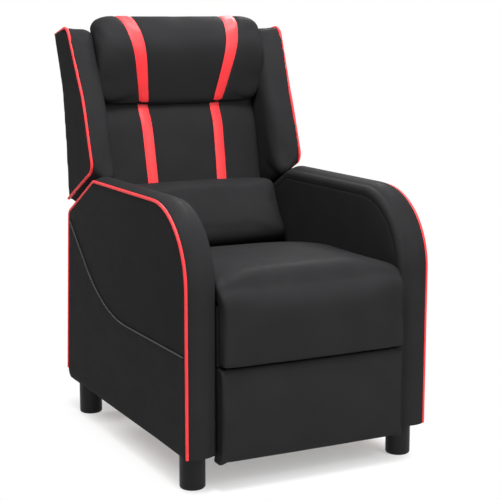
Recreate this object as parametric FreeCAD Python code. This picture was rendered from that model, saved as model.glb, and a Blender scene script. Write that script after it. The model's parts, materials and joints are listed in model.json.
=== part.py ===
"""Push-back gaming recliner, modelled as the pieces it comes apart into.

Leaning the backrest draws a rod on each side, which turns the footrest linkage out from under the
seat. The chair faces -Y, its left side is +X and the floor is z = 0. Lengths are millimetres.
Side profiles are drawn as (depth, height): depth runs back from the front of the arms.
"""
import FreeCAD, Part
import math
import os

from FreeCAD import Vector

# Arms and legs
OVERALL_WIDTH = 628.0
ARM_THICKNESS = 78.0
ARM_DEPTH = 785.0
ARM_HEIGHT = 640.0
ARM_REAR_HEIGHT = 540.0
ARM_REAR_RAKE = 37.0
ARM_SLOPE_RUN = 188.0
ARM_NOSE_RADIUS = 180.0
ARM_CORNER_RADIUS = 25.0
ARM_BAND_THICKNESS = 14.0
ARM_PANEL_THICKNESS = 8.0
ARM_RAIL_WIDTH = 46.0
ARM_INNER_EDGE_RADIUS = 9.0
LEG_HEIGHT = 84.0
LEG_DIAMETER = 59.0
LEG_EDGE_RADIUS = 6.0
LEG_FRONT_INSET = 54.0
LEG_REAR_INSET = 74.0
LEG_STUD_DIAMETER = 8.0
LEG_STUD_GRIP = 30.0
REAR_RAIL_INSET = 30.0
REAR_RAIL_THICKNESS = 22.0
REAR_RAIL_HEIGHT = 90.0

# Piping and side pocket
PIPING_DIAMETER = 10.0
PIPING_PROUD = 3.0
POCKET_THICKNESS = 2.0
POCKET_MARGIN = 11.0
POCKET_FRONT_HEIGHT = 312.0
POCKET_REAR_HEIGHT = 513.0
POCKET_BEND_DEPTH = 450.0

# Seat
SEAT_GAP = 6.0
SEAT_NOSE = 27.0
SEAT_NOSE_BULGE = 8.0
SEAT_FRONT_HEIGHT = 481.0
SEAT_MIDDLE_HEIGHT = 477.0
SEAT_REAR_HEIGHT = 450.0
SEAT_CROWN = 9.0
SEAT_REAR_CROWN = 3.0
SEAT_MIDDLE_DEPTH = 330.0
SEAT_REAR_DEPTH = 541.0
SEAT_LIP = 12.0
SEAT_OVERHANG_HEIGHT = 432.0
CREASE_HEIGHT = 284.0
RAIL_TOP = 320.0
RAIL_HEIGHT = 38.0
RAIL_THICKNESS = 24.0
SPRING_COUNT = 4
SPRING_SPACING = 84.0
SPRING_WIRE = 4.0
SPRING_WIDTH = 52.0
SPRING_PITCH = 30.0
CLIP_WIDTH = 18.0
CLIP_WALL = 1.5

# Footrest linkage and drive
MECHANISM_SPACE = 36.0
PLATE_THICKNESS = 3.0
LINK_THICKNESS = 4.0
LINK_HALF_WIDTH = 9.0
LAYER_GAP = 1.0
PIN_RADIUS = 4.0
PIN_HEAD_RADIUS = 7.0
PIN_HEAD_THICKNESS = 2.5
RECLINE_ANGLE = 40.0
FOOTREST_SWING = 90.0
HINGE_DEPTH = 600.0
HINGE_HEIGHT = 400.0
LINK_PIVOT_DEPTH = 225.0
LINK_PIVOT_SHARE = 0.2
SWING_LEAD = 22.0
SWING_RISE = 158.0
CRANK_LENGTH = 45.0
TUBE_RADIUS = 9.0
TUBE_WALL = 1.5
TUBE_SHARE = 0.72
SPACER_WIDTH = 54.0
SPACER_HEIGHT = 50.0
FRONT_SPACER_DEPTH = 97.0
REAR_SPACER_DEPTH = 430.0
SPACER_CENTRE_HEIGHT = 372.0
ARM_BOLT_RADIUS = 4.0
ARM_BOLT_GRIP = 25.0
ARM_BOLT_HEAD_THICKNESS = 4.0
SLOT_ARM_HALF_WIDTH = 13.5

# Footrest
FOOTREST_PROUD = 19.0
FOOTREST_CROWN = 9.0
FOOTREST_EDGE_CROWN = 4.0
FOOTREST_BOTTOM = 75.0
FOOTREST_PAD = 41.0
FOOTREST_BOARD = 12.0
FOOTREST_BOARD_MARGIN = 9.0
EAR_REACH = 32.0
EAR_DROP = 57.0
EAR_SPACING = 45.0
EAR_HALF_WIDTH = 10.0
FLANGE_WIDTH = 44.0
FLANGE_THICKNESS = 3.0

# Backrest: (back, up) from a point on the pad face, leaned with the back
BACK_LEAN = 11.6
PAD_FACE_DEPTH = 684.0
PAD_FACE_RISE = 65.0
BACK_PAD_THICKNESS = 38.0
BACK_PAD_CROWN = 9.0
BACK_PAD_TOP = 400.0
BACK_PAD_BOTTOM = -150.0
WEBBING_THICKNESS = 1.5
WEBBING_WIDTH = 50.0
WEBBING_COUNT = 5
STILE_THICKNESS = 20.0
STILE_WIDTH = 24.0
STILE_TOP = 392.0
STILE_BOTTOM = -215.0
BACK_RAIL_HEIGHT = 42.0
BACK_PANEL_BOTTOM = -320.0
WING_THICKNESS = 69.0
WING_REAR_TOP = 94.0
WING_REAR_WAIST = 66.0
WING_REAR_BOTTOM = 88.0
WING_WAIST_HEIGHT = 190.0
WING_TOP = 406.0
WING_TOP_FRONT = -16.0
WING_BEND_FRONT = -88.0
WING_FRONT = -108.0
WING_FRONT_BOTTOM = 38.0
WING_REAR_FOOT = -15.0
WING_INNER_RADIUS = 22.0
WING_GAP = 1.0
OUTRIGGER_REACH = 50.0
HEADREST_BOTTOM = 222.0
HEADREST_TOP = 445.0
HEADREST_FRONT = -98.0
HEADREST_TOP_FRONT = -62.0
HEADREST_OVERLAP = 9.0
HEADREST_REAR = 4.0
HEADREST_END_SCALE = 0.74
LUMBAR_TOP = 12.0
LUMBAR_TOP_FRONT = -72.0
LUMBAR_BOTTOM = -168.0
LUMBAR_BOTTOM_FRONT = -134.0
LUMBAR_CROWN = 10.0
MOTOR_RADIUS = 32.0
MOTOR_THICKNESS = 24.0
MOTOR_SPACING = 190.0
MOTOR_COVER = 14.0
STRIPE_THICKNESS = 1.2
STRIPE_WIDTH = 30.0
STRIPE_OFFSET = 99.0
CREASE_STRIPE_OFFSET = 106.0
HEAD_STRIPE_WIDTH = 38.0
HEAD_STRIPE_TOP_OFFSET = 150.0
STRIPE_TUCK = 60.0
STRIPE_REACH = 130.0
STRIPE_CUT_DEPTH = 143.0

# Rounding of the cushions across the chair
STATION_STEPS = 4
CROWN_POWER = 3.0

# Corner radii of the cushions' side profiles
HEM_RADIUS = 14.0
EDGE_RADIUS = 6.0
TUCKED_RADIUS = 3.0
SEAT_NOSE_RADIUS = 46.0
SEAT_DISH_RADIUS = 700.0
SEAT_REAR_RADIUS = 24.0
FOOTREST_FACE_RADIUS = 500.0
WING_FRONT_RADIUS = 28.0
WING_BEND_RADIUS = 400.0
WING_TOP_RADIUS = 34.0
WING_WAIST_RADIUS = 600.0
HEADREST_CHIN_RADIUS = 44.0
HEADREST_FACE_RADIUS = 130.0
HEADREST_BROW_RADIUS = 48.0
LUMBAR_TOP_RADIUS = 34.0
LUMBAR_BOTTOM_RADIUS = 30.0
PANEL_FOOT_RADIUS = 300.0

# Clearances
SEATING_GAP = 0.3
RUNNING_GAP = 0.08
SLOT_GAP = 0.2
CREASE_GAP = 2.5
OVERCUT = 1.0
TOLERANCE = 1e-6

# Places that several pieces share
HALF_WIDTH = OVERALL_WIDTH / 2
PAD_FACE_HEIGHT = ARM_REAR_HEIGHT + PAD_FACE_RISE
ARM_OUTER_X = HALF_WIDTH - PIPING_PROUD
ARM_INNER_X = HALF_WIDTH - ARM_THICKNESS
ARM_CORE_INNER_X = ARM_INNER_X + ARM_PANEL_THICKNESS
ARM_CORE_OUTER_X = ARM_OUTER_X - ARM_PANEL_THICKNESS
LEG_X = (ARM_CORE_INNER_X + ARM_CORE_OUTER_X) / 2
LEG_DEPTHS = {"front": LEG_FRONT_INSET, "rear": ARM_DEPTH - LEG_REAR_INSET}
PIPING_RADIUS = PIPING_DIAMETER / 2
PIPING_X = HALF_WIDTH - PIPING_RADIUS
SEAT_HALF = ARM_INNER_X - SEAT_GAP
MECHANISM_X = ARM_INNER_X - MECHANISM_SPACE
PLATE_OUTER_X = MECHANISM_X + PLATE_THICKNESS
INNER_LAYER_X = PLATE_OUTER_X + LAYER_GAP
OUTER_LAYER_X = INNER_LAYER_X + LINK_THICKNESS + LAYER_GAP
OUTER_LAYER_END_X = OUTER_LAYER_X + LINK_THICKNESS
CUSHION_LOWER_HALF = MECHANISM_X - ARM_BOLT_HEAD_THICKNESS - PLATE_THICKNESS
FRONT_RAIL_DEPTH = SEAT_LIP + SEATING_GAP
REAR_RAIL_DEPTH = SEAT_REAR_DEPTH - RAIL_THICKNESS - SEAT_LIP
CUSHION_BASE = RAIL_TOP + SPRING_WIRE + CLIP_WALL + SEATING_GAP
FOOTREST_TOP = CREASE_HEIGHT - CREASE_GAP
FOOTREST_PAD_REAR = FOOTREST_PAD - FOOTREST_PROUD
FOOTREST_BOARD_REAR = FOOTREST_PAD_REAR + FOOTREST_BOARD
STILE_FRONT = BACK_PAD_THICKNESS + SEATING_GAP + WEBBING_THICKNESS
STILE_REAR = STILE_FRONT + STILE_THICKNESS
STILE_X = INNER_LAYER_X - STILE_WIDTH
BACK_HALF = ARM_INNER_X - SEAT_GAP
WING_INNER_X = BACK_HALF + WING_GAP
WING_OUTER_X = WING_INNER_X + WING_THICKNESS


def plane(depth, height):
    """Point of a side profile."""
    return Vector(0, depth, height)


def leaned(back, up):
    """Side-profile point of a place on the leaning backrest."""
    lean = math.radians(BACK_LEAN)
    return plane(PAD_FACE_DEPTH + up * math.sin(lean) + back * math.cos(lean),
                 PAD_FACE_HEIGHT + up * math.cos(lean) - back * math.sin(lean))


def turned(arm, angle):
    """Vector of a side profile swung towards the front by an angle in degrees."""
    turn = math.radians(angle)
    return plane(arm.y * math.cos(turn) + arm.z * math.sin(turn),
                 -arm.y * math.sin(turn) + arm.z * math.cos(turn))


# Footrest linkage: two parallelograms that turn the footrest about one virtual centre
SWING_CENTRE = plane(-FOOTREST_PROUD - SWING_LEAD, CREASE_HEIGHT + SWING_RISE)
REAR_PIVOT = plane(LINK_PIVOT_DEPTH, RAIL_TOP)
EAR_LOWER = plane(FOOTREST_BOARD_REAR + EAR_REACH, CREASE_HEIGHT - EAR_DROP)
LINK = EAR_LOWER - SWING_CENTRE
CARRIER = SWING_CENTRE - REAR_PIVOT
FRONT_PIVOT = REAR_PIVOT + CARRIER * LINK_PIVOT_SHARE
REAR_KNEE = REAR_PIVOT + LINK
FRONT_KNEE = FRONT_PIVOT + LINK
EAR_STEP = LINK * (EAR_SPACING / LINK.Length)
FOLLOWER_KNEE = FRONT_KNEE - EAR_STEP
EAR_UPPER = EAR_LOWER - EAR_STEP
TUBE_CENTRE = REAR_PIVOT + LINK * TUBE_SHARE

# Drive: a crank on the rear link, a rod, and a radial slot below the recline hinge
RECLINE_HINGE = plane(HINGE_DEPTH, HINGE_HEIGHT)
DOWN = plane(0, -1)
CRANK_PIN = REAR_PIVOT + turned(DOWN, -FOOTREST_SWING / 2) * CRANK_LENGTH
SLOT_RADIUS = (CRANK_LENGTH * math.sin(math.radians(FOOTREST_SWING / 2))
               / math.sin(math.radians(RECLINE_ANGLE / 2)))
SLOT_PIN = RECLINE_HINGE + turned(DOWN, -RECLINE_ANGLE / 2) * SLOT_RADIUS
SLOT_TRAVEL = (CRANK_LENGTH * (1 - math.cos(math.radians(FOOTREST_SWING / 2)))
               + SLOT_RADIUS * math.cos(math.radians(RECLINE_ANGLE / 2)) - SLOT_RADIUS)


def outline(corners, closed=True):
    """Wire through corners given as (point, corner radius), each corner an arc."""
    count = len(corners)
    edges = []
    joints = []
    for index, (point, radius) in enumerate(corners):
        at_end = not closed and index in (0, count - 1)
        if at_end or radius == 0:
            joints.append((point, None, point))
            continue
        before = (corners[index - 1][0] - point).normalize()
        after = (corners[(index + 1) % count][0] - point).normalize()
        half = before.getAngle(after) / 2
        middle = (before + after).normalize()
        run = radius / math.tan(half)
        rise = radius / math.sin(half) - radius
        joints.append((point + before * run, point + middle * rise, point + after * run))
    for index, (start, crest, end) in enumerate(joints):
        if crest is not None:
            edges.append(Part.Arc(start, crest, end).toShape())
        following = joints[(index + 1) % count]
        if (closed or index < count - 1) and end.distanceToPoint(following[0]) > TOLERANCE:
            edges.append(Part.LineSegment(end, following[0]).toShape())
    return Part.Wire(edges)


def slab(wire, x_from, x_to):
    """Plate of a side profile between two places across the chair."""
    face = Part.Face(wire)
    face.translate(Vector(x_from, 0, 0))
    return face.extrude(Vector(x_to - x_from, 0, 0))


def block(x_from, x_to, low, high):
    """Box between two places across the chair and two side-profile corners."""
    size = high - low
    return Part.makeBox(x_to - x_from, size.y, size.z, Vector(x_from, low.y, low.z))


def leaned_block(x_from, x_to, back, up):
    """Box that leans with the backrest, from its (from, to) places back and up."""
    corners = [leaned(back[0], up[0]), leaned(back[1], up[0]),
               leaned(back[1], up[1]), leaned(back[0], up[1])]
    return slab(outline([(corner, 0) for corner in corners]), x_from, x_to)


def bar(start, end, half_width, x_from, x_to):
    """Flat link with round ends."""
    along = (end - start).normalize()
    across = plane(-along.z, along.y) * half_width
    reach = along * half_width
    edges = [Part.LineSegment(start + across, end + across).toShape(),
             Part.Arc(end + across, end + reach, end - across).toShape(),
             Part.LineSegment(end - across, start - across).toShape(),
             Part.Arc(start - across, start - reach, start + across).toShape()]
    return slab(Part.Wire(edges), x_from, x_to)


def rod(centre, radius, x_from, x_to):
    """Round bar lying across the chair."""
    start = Vector(x_from, centre.y, centre.z)
    return Part.makeCylinder(radius, x_to - x_from, start, Vector(1, 0, 0))


def fused(shapes):
    """One solid of several overlapping ones, without the seams between them."""
    return shapes[0].fuse(shapes[1:]).removeSplitter()


def mirrored(shape):
    """The same piece on the chair's right side."""
    return shape.mirror(Vector(0, 0, 0), Vector(1, 0, 0))


def pair(shape):
    """A left piece and its right twin, as separate solids."""
    return Part.makeCompound([shape, mirrored(shape)])


def swept(path, radius):
    """Round tube along a path."""
    start = path.OrderedEdges[0]
    place = start.valueAt(start.FirstParameter)
    ring = Part.Wire(Part.makeCircle(radius, place, start.tangentAt(start.FirstParameter)))
    return path.makePipeShell([ring], True, False)


def crowned(section, stations):
    """Cushion lofted across the chair; each station is (x, fullness of the section)."""
    wires = []
    for place, fullness in stations:
        wire = outline(section(fullness))
        wire.translate(Vector(place, 0, 0))
        wires.append(wire)
    return Part.makeLoft(wires, True, False)


def stations_across(half):
    """Stations across a cushion, closer towards its ends, with a fullness that rounds off there."""
    stations = []
    for index in range(-STATION_STEPS, STATION_STEPS + 1):
        share = math.sin(math.pi / 2 * index / STATION_STEPS)
        fullness = (1 - abs(share) ** CROWN_POWER) ** (1 / CROWN_POWER)
        stations.append((half * share, fullness))
    return stations


def arm_outline(base):
    """Side profile of an arm whose bottom edge is at a height."""
    top_rear = plane(ARM_DEPTH - ARM_REAR_RAKE, ARM_REAR_HEIGHT)
    return outline([
        (plane(ARM_DEPTH, base), ARM_CORNER_RADIUS),
        (top_rear, ARM_CORNER_RADIUS),
        (plane(top_rear.y - ARM_SLOPE_RUN, ARM_HEIGHT), ARM_CORNER_RADIUS),
        (plane(0, ARM_HEIGHT), ARM_NOSE_RADIUS),
        (plane(0, base), 0)])


def arm_inset(inset):
    """Arm profile drawn in from the front, top and rear, open to the arm's bottom."""
    return arm_outline(LEG_HEIGHT - inset).makeOffset2D(-inset)


def arm_piping():
    """Piping on the outer edge, from the rear corner over the top to the foot of the front."""
    sunk = PIPING_RADIUS - PIPING_PROUD
    rear = plane(ARM_DEPTH - sunk, LEG_HEIGHT + ARM_CORNER_RADIUS)
    top_rear = plane(ARM_DEPTH - ARM_REAR_RAKE - sunk, ARM_REAR_HEIGHT - sunk)
    path = outline([
        (rear, 0),
        (top_rear, ARM_CORNER_RADIUS - sunk),
        (plane(top_rear.y - ARM_SLOPE_RUN, ARM_HEIGHT - sunk), ARM_CORNER_RADIUS - sunk),
        (plane(sunk, ARM_HEIGHT - sunk), ARM_NOSE_RADIUS - sunk),
        (plane(sunk, LEG_HEIGHT), 0)], closed=False)
    path.translate(Vector(PIPING_X, 0, 0))
    return swept(path, PIPING_RADIUS)


def arm_pieces():
    """Core, padded band, inner and outer panels and piping of the left arm."""
    core_wire = arm_inset(ARM_BAND_THICKNESS)
    core = slab(core_wire, ARM_CORE_INNER_X, ARM_CORE_OUTER_X)
    window = arm_outline(LEG_HEIGHT).makeOffset2D(-ARM_BAND_THICKNESS - ARM_RAIL_WIDTH)
    core = core.cut(slab(window, ARM_CORE_INNER_X, ARM_CORE_OUTER_X))
    band = slab(arm_outline(LEG_HEIGHT), ARM_INNER_X, ARM_CORE_OUTER_X)
    edges = [edge for edge in band.Edges
             if abs(edge.BoundBox.XMax - ARM_INNER_X) < TOLERANCE
             and edge.BoundBox.ZMax > LEG_HEIGHT + OVERCUT]
    band = band.makeFillet(ARM_INNER_EDGE_RADIUS, edges)
    band = band.cut(slab(core_wire, ARM_INNER_X - OVERCUT, ARM_OUTER_X))
    inner_panel = slab(core_wire, ARM_INNER_X, ARM_CORE_INNER_X)
    outer_panel = slab(arm_outline(LEG_HEIGHT), ARM_CORE_OUTER_X, ARM_OUTER_X)
    piping = arm_piping()
    outer_panel = outer_panel.cut(piping)
    for depth in LEG_DEPTHS.values():
        core = core.cut(leg_stud(depth))
    for bolt in arm_bolts():
        core = core.cut(bolt)
        inner_panel = inner_panel.cut(bolt)
    return {"arm_core": core, "arm_band": band, "arm_inner_panel": inner_panel,
            "arm_outer_panel": outer_panel, "arm_piping": piping}


def side_pocket():
    """Flat pocket on the outside of the left arm, closed by its own stretch along the hem."""
    ends = (ARM_OUTER_X, ARM_OUTER_X + POCKET_THICKNESS)
    field = slab(arm_outline(LEG_HEIGHT).makeOffset2D(-POCKET_MARGIN), *ends)
    hem = outline([
        (plane(-OVERCUT, 0), 0), (plane(ARM_DEPTH, 0), 0), (plane(ARM_DEPTH, POCKET_REAR_HEIGHT), 0),
        (plane(POCKET_BEND_DEPTH, POCKET_FRONT_HEIGHT), ARM_NOSE_RADIUS),
        (plane(-OVERCUT, POCKET_FRONT_HEIGHT), 0)])
    return field.common(slab(hem, *ends))


def leg_stud(depth):
    """Threaded stud that holds a leg to the arm's bottom rail."""
    start = Vector(LEG_X, depth, LEG_HEIGHT - LEG_STUD_GRIP)
    return Part.makeCylinder(LEG_STUD_DIAMETER / 2, 2 * LEG_STUD_GRIP, start)


def leg(depth):
    """Round leg with a softened foot and a bore for its stud."""
    post = Part.makeCylinder(LEG_DIAMETER / 2, LEG_HEIGHT, Vector(LEG_X, depth, 0))
    foot = [edge for edge in post.Edges if edge.BoundBox.ZMax < TOLERANCE]
    return post.makeFillet(LEG_EDGE_RADIUS, foot).cut(leg_stud(depth))


def rear_rail():
    """Stretcher between the arms at the back."""
    rear = ARM_DEPTH - ARM_REAR_RAKE / 2 - REAR_RAIL_INSET
    low = plane(rear - REAR_RAIL_THICKNESS, LEG_HEIGHT)
    return block(-ARM_INNER_X, ARM_INNER_X, low, plane(rear, LEG_HEIGHT + REAR_RAIL_HEIGHT))


def seat_rails():
    """Front, rear and side rails of the seat frame."""
    low = RAIL_TOP - RAIL_HEIGHT
    front_rear = FRONT_RAIL_DEPTH + RAIL_THICKNESS
    front = block(-MECHANISM_X, MECHANISM_X, plane(FRONT_RAIL_DEPTH, low), plane(front_rear, RAIL_TOP))
    rear = block(-MECHANISM_X, MECHANISM_X, plane(REAR_RAIL_DEPTH, low),
                 plane(REAR_RAIL_DEPTH + RAIL_THICKNESS, RAIL_TOP))
    side = block(MECHANISM_X - RAIL_THICKNESS, MECHANISM_X, plane(front_rear, low),
                 plane(REAR_RAIL_DEPTH, RAIL_TOP))
    return {"seat_front_rail": front, "seat_rear_rail": rear, "seat_side_rails": pair(side)}


def spring_places():
    """Places of the seat springs across the chair."""
    return [(index - (SPRING_COUNT - 1) / 2) * SPRING_SPACING for index in range(SPRING_COUNT)]


def spring_run_depths():
    """Depths of a spring's cross runs, from the front rail to the rear rail."""
    first = FRONT_RAIL_DEPTH + RAIL_THICKNESS / 2
    last = REAR_RAIL_DEPTH + RAIL_THICKNESS / 2
    steps = int((last - first) // SPRING_PITCH)
    pitch = (last - first) / steps
    return [first + index * pitch for index in range(steps + 1)]


def spring_path(place):
    """Zigzag of one seat spring, its turns half circles."""
    depths = spring_run_depths()
    turn = (depths[1] - depths[0]) / 2
    reach = SPRING_WIDTH / 2 - turn
    height = RAIL_TOP + SPRING_WIRE / 2
    edges = []
    side = 1
    for index, depth in enumerate(depths):
        start = Vector(place - side * reach, depth, height)
        end = Vector(place + side * reach, depth, height)
        edges.append(Part.LineSegment(start, end).toShape())
        if index < len(depths) - 1:
            crest = end + Vector(side * turn, turn, 0)
            edges.append(Part.Arc(end, crest, end + Vector(0, 2 * turn, 0)).toShape())
        side = -side
    return Part.Wire(edges)


def least_spring_gap():
    """Smallest gap between neighbouring runs of a spring, measured on points along it."""
    points = spring_path(0.0).discretize(Distance=SPRING_WIRE)
    skip = int(SPRING_PITCH / SPRING_WIRE) + 1
    gaps = [first.distanceToPoint(second)
            for index, first in enumerate(points) for second in points[index + skip:]]
    return min(gaps) - SPRING_WIRE


def spring_clip(place, depth):
    """Bent strap that holds the end run of a spring down on its rail."""
    ends = (place - CLIP_WIDTH / 2, place + CLIP_WIDTH / 2)
    half = SPRING_WIRE + 2 * CLIP_WALL
    inside = SPRING_WIRE / 2 + SEATING_GAP
    strap = block(*ends, plane(depth - half, RAIL_TOP),
                  plane(depth + half, RAIL_TOP + SPRING_WIRE + CLIP_WALL))
    channel = block(*ends, plane(depth - inside, RAIL_TOP), plane(depth + inside, RAIL_TOP + SPRING_WIRE))
    return strap.cut(channel)


def seat_springs():
    """Zigzag springs and the clips that hold their ends on the rails."""
    springs = []
    clips = []
    depths = spring_run_depths()
    for place in spring_places():
        springs.append(swept(spring_path(place), SPRING_WIRE / 2))
        for depth in (depths[0], depths[-1]):
            clips.append(spring_clip(place, depth))
    return {"seat_springs": Part.makeCompound(springs), "spring_clips": Part.makeCompound(clips)}


def seat_section(fullness):
    """Side profile of the seat cushion, with its front lip hanging to the crease."""
    nose = -SEAT_NOSE - SEAT_NOSE_BULGE * fullness
    rise = SEAT_CROWN * fullness
    return [
        (plane(nose, CREASE_HEIGHT), HEM_RADIUS),
        (plane(nose, SEAT_FRONT_HEIGHT + rise), SEAT_NOSE_RADIUS),
        (plane(SEAT_MIDDLE_DEPTH, SEAT_MIDDLE_HEIGHT + rise), SEAT_DISH_RADIUS),
        (plane(SEAT_REAR_DEPTH, SEAT_REAR_HEIGHT + SEAT_REAR_CROWN * fullness), SEAT_REAR_RADIUS),
        (plane(SEAT_REAR_DEPTH, CUSHION_BASE), EDGE_RADIUS),
        (plane(SEAT_LIP, CUSHION_BASE), TUCKED_RADIUS),
        (plane(SEAT_LIP, CREASE_HEIGHT), EDGE_RADIUS)]


def seat_cushion():
    """Seat cushion, narrowed below its overhang to make room for the mechanism."""
    cushion = crowned(seat_section, stations_across(SEAT_HALF))
    low = plane(SEAT_LIP, CREASE_HEIGHT)
    recess = block(CUSHION_LOWER_HALF, ARM_INNER_X, low, plane(ARM_DEPTH, SEAT_OVERHANG_HEIGHT))
    return cushion.cut(pair(recess))


def pin(centre, x_from, x_to):
    """Rivet through a pivot, headed on its outer end."""
    end = x_to + PIN_HEAD_THICKNESS
    shank = rod(centre, PIN_RADIUS, x_from, end)
    head = rod(centre, PIN_HEAD_RADIUS, x_to + LAYER_GAP / 2, end)
    return fused([shank, head])


def bored(plate, centres, gap):
    """Link with round holes for the pins at some centres."""
    holes = [rod(centre, PIN_RADIUS + gap, MECHANISM_X, ARM_INNER_X) for centre in centres]
    return plate.cut(holes)


def spacer_centres():
    """Places where spacers hold the side plates off the arms."""
    return [plane(FRONT_SPACER_DEPTH, SPACER_CENTRE_HEIGHT), plane(REAR_SPACER_DEPTH, SPACER_CENTRE_HEIGHT)]


def arm_bolts():
    """Bolts from a side plate through its spacers into an arm."""
    bolts = []
    for centre in spacer_centres():
        start = MECHANISM_X - ARM_BOLT_HEAD_THICKNESS
        shank = rod(centre, ARM_BOLT_RADIUS, start, ARM_CORE_INNER_X + ARM_BOLT_GRIP)
        head = rod(centre, 2 * ARM_BOLT_RADIUS, start, MECHANISM_X)
        bolts.append(fused([shank, head]))
    return bolts


def spacers():
    """Wooden blocks between a side plate and its arm."""
    half = plane(SPACER_WIDTH, SPACER_HEIGHT) * 0.5
    blocks = []
    for centre, bolt in zip(spacer_centres(), arm_bolts()):
        blocks.append(block(PLATE_OUTER_X, ARM_INNER_X, centre - half, centre + half).cut(bolt))
    return blocks


def side_plate():
    """Steel plate on the seat rail that carries the linkage, the spacers and the recline hinge."""
    middle = RAIL_TOP - RAIL_HEIGHT / 2 + LINK_HALF_WIDTH
    half = RAIL_HEIGHT / 2
    front = plane(FRONT_SPACER_DEPTH, middle)
    rear = plane(REAR_RAIL_DEPTH, middle)
    lug = SPACER_WIDTH / 2
    ends = (MECHANISM_X, PLATE_OUTER_X)
    lobe = 2 * LINK_HALF_WIDTH
    shapes = [bar(front, rear, half, *ends), bar(REAR_PIVOT, FRONT_PIVOT, lobe, *ends),
              bar(rear, RECLINE_HINGE, half, *ends)]
    for centre in spacer_centres():
        shapes.append(bar(plane(centre.y, middle), centre, lug, *ends))
    plate = bored(fused(shapes), [REAR_PIVOT, FRONT_PIVOT, RECLINE_HINGE], 0)
    return plate.cut(arm_bolts())


def rear_link():
    """Rear link with the crank that the drive rod pushes."""
    ends = (INNER_LAYER_X, INNER_LAYER_X + LINK_THICKNESS)
    shapes = [bar(REAR_PIVOT, REAR_KNEE, LINK_HALF_WIDTH, *ends),
              bar(REAR_PIVOT, CRANK_PIN, LINK_HALF_WIDTH, *ends)]
    plate = bored(fused(shapes), [REAR_PIVOT], RUNNING_GAP)
    return bored(plate, [REAR_KNEE, CRANK_PIN], 0)


def front_link():
    """Front link, parallel to the rear link."""
    plate = bar(FRONT_PIVOT, FRONT_KNEE, LINK_HALF_WIDTH, INNER_LAYER_X, INNER_LAYER_X + LINK_THICKNESS)
    return bored(bored(plate, [FRONT_PIVOT], RUNNING_GAP), [FRONT_KNEE, FOLLOWER_KNEE], 0)


def outer_link(start, end, between=()):
    """Link of the outer layer, running on pins at its ends and at places between."""
    plate = bar(start, end, LINK_HALF_WIDTH, OUTER_LAYER_X, OUTER_LAYER_END_X)
    return bored(plate, [start, end, *between], RUNNING_GAP)


def drive_rod():
    """Drive rod from the crank to the slotted back bracket, with its slot pin."""
    plate = bar(CRANK_PIN, SLOT_PIN, LINK_HALF_WIDTH, OUTER_LAYER_X, OUTER_LAYER_END_X)
    plate = bored(plate, [CRANK_PIN], RUNNING_GAP)
    return fused([plate, rod(SLOT_PIN, PIN_RADIUS, INNER_LAYER_X, OUTER_LAYER_END_X)])


def torque_tube():
    """Tube that ties the left and right rear links together."""
    outer = rod(TUBE_CENTRE, TUBE_RADIUS, -INNER_LAYER_X, INNER_LAYER_X)
    return outer.cut(rod(TUBE_CENTRE, TUBE_RADIUS - TUBE_WALL, -INNER_LAYER_X, INNER_LAYER_X))


def outer_pins(centres):
    """Rivets from the inner layer of links through the outer layer, both sides."""
    rivets = []
    for centre in centres:
        rivet = pin(centre, INNER_LAYER_X, OUTER_LAYER_END_X)
        rivets += [rivet, mirrored(rivet)]
    return Part.makeCompound(rivets)


def frame_pins():
    """Rivets from the side plates through the links and the back brackets, both sides."""
    rivets = []
    for centre in (REAR_PIVOT, FRONT_PIVOT, RECLINE_HINGE):
        rivet = pin(centre, MECHANISM_X, INNER_LAYER_X + LINK_THICKNESS)
        rivets += [rivet, mirrored(rivet)]
    return Part.makeCompound(rivets)


def footrest_section(fullness):
    """Side profile of the footrest pad."""
    face = -FOOTREST_PROUD + FOOTREST_EDGE_CROWN * (1 - fullness)
    bulge = FOOTREST_EDGE_CROWN + (FOOTREST_CROWN - FOOTREST_EDGE_CROWN) * fullness
    return [
        (plane(FOOTREST_PAD_REAR, FOOTREST_BOTTOM), TUCKED_RADIUS),
        (plane(face, FOOTREST_BOTTOM), HEM_RADIUS),
        (plane(face - bulge, (FOOTREST_BOTTOM + FOOTREST_TOP) / 2), FOOTREST_FACE_RADIUS),
        (plane(face, FOOTREST_TOP), HEM_RADIUS),
        (plane(FOOTREST_PAD_REAR, FOOTREST_TOP), TUCKED_RADIUS)]


def footrest_bracket():
    """Angle bracket: a flange on the footrest board and an ear with two pivots."""
    low = plane(FOOTREST_BOARD_REAR, EAR_LOWER.z - EAR_HALF_WIDTH)
    high = plane(FOOTREST_BOARD_REAR + FLANGE_THICKNESS, EAR_UPPER.z + EAR_HALF_WIDTH)
    ends = (INNER_LAYER_X, INNER_LAYER_X + LINK_THICKNESS)
    flange = block(ends[1] - FLANGE_WIDTH, ends[1], low, high)
    ear = [bar(EAR_LOWER, EAR_UPPER, EAR_HALF_WIDTH, *ends),
           bar(plane(FOOTREST_BOARD_REAR + EAR_HALF_WIDTH, EAR_LOWER.z), EAR_LOWER, EAR_HALF_WIDTH, *ends),
           block(*ends, low, plane(EAR_UPPER.y, high.z))]
    return bored(fused([flange, *ear]), [EAR_LOWER, EAR_UPPER], 0)


def footrest_pieces():
    """Pad, board, brackets and pins of the footrest."""
    pad = crowned(footrest_section, stations_across(SEAT_HALF))
    half = SEAT_HALF - FOOTREST_BOARD_MARGIN
    board = block(-half, half, plane(FOOTREST_PAD_REAR, FOOTREST_BOTTOM + FOOTREST_BOARD_MARGIN),
                  plane(FOOTREST_BOARD_REAR, FOOTREST_TOP - FOOTREST_BOARD_MARGIN))
    return {"footrest_pad": pad, "footrest_board": board, "footrest_brackets": pair(footrest_bracket()),
            "footrest_pins": outer_pins([EAR_LOWER, EAR_UPPER])}


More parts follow.
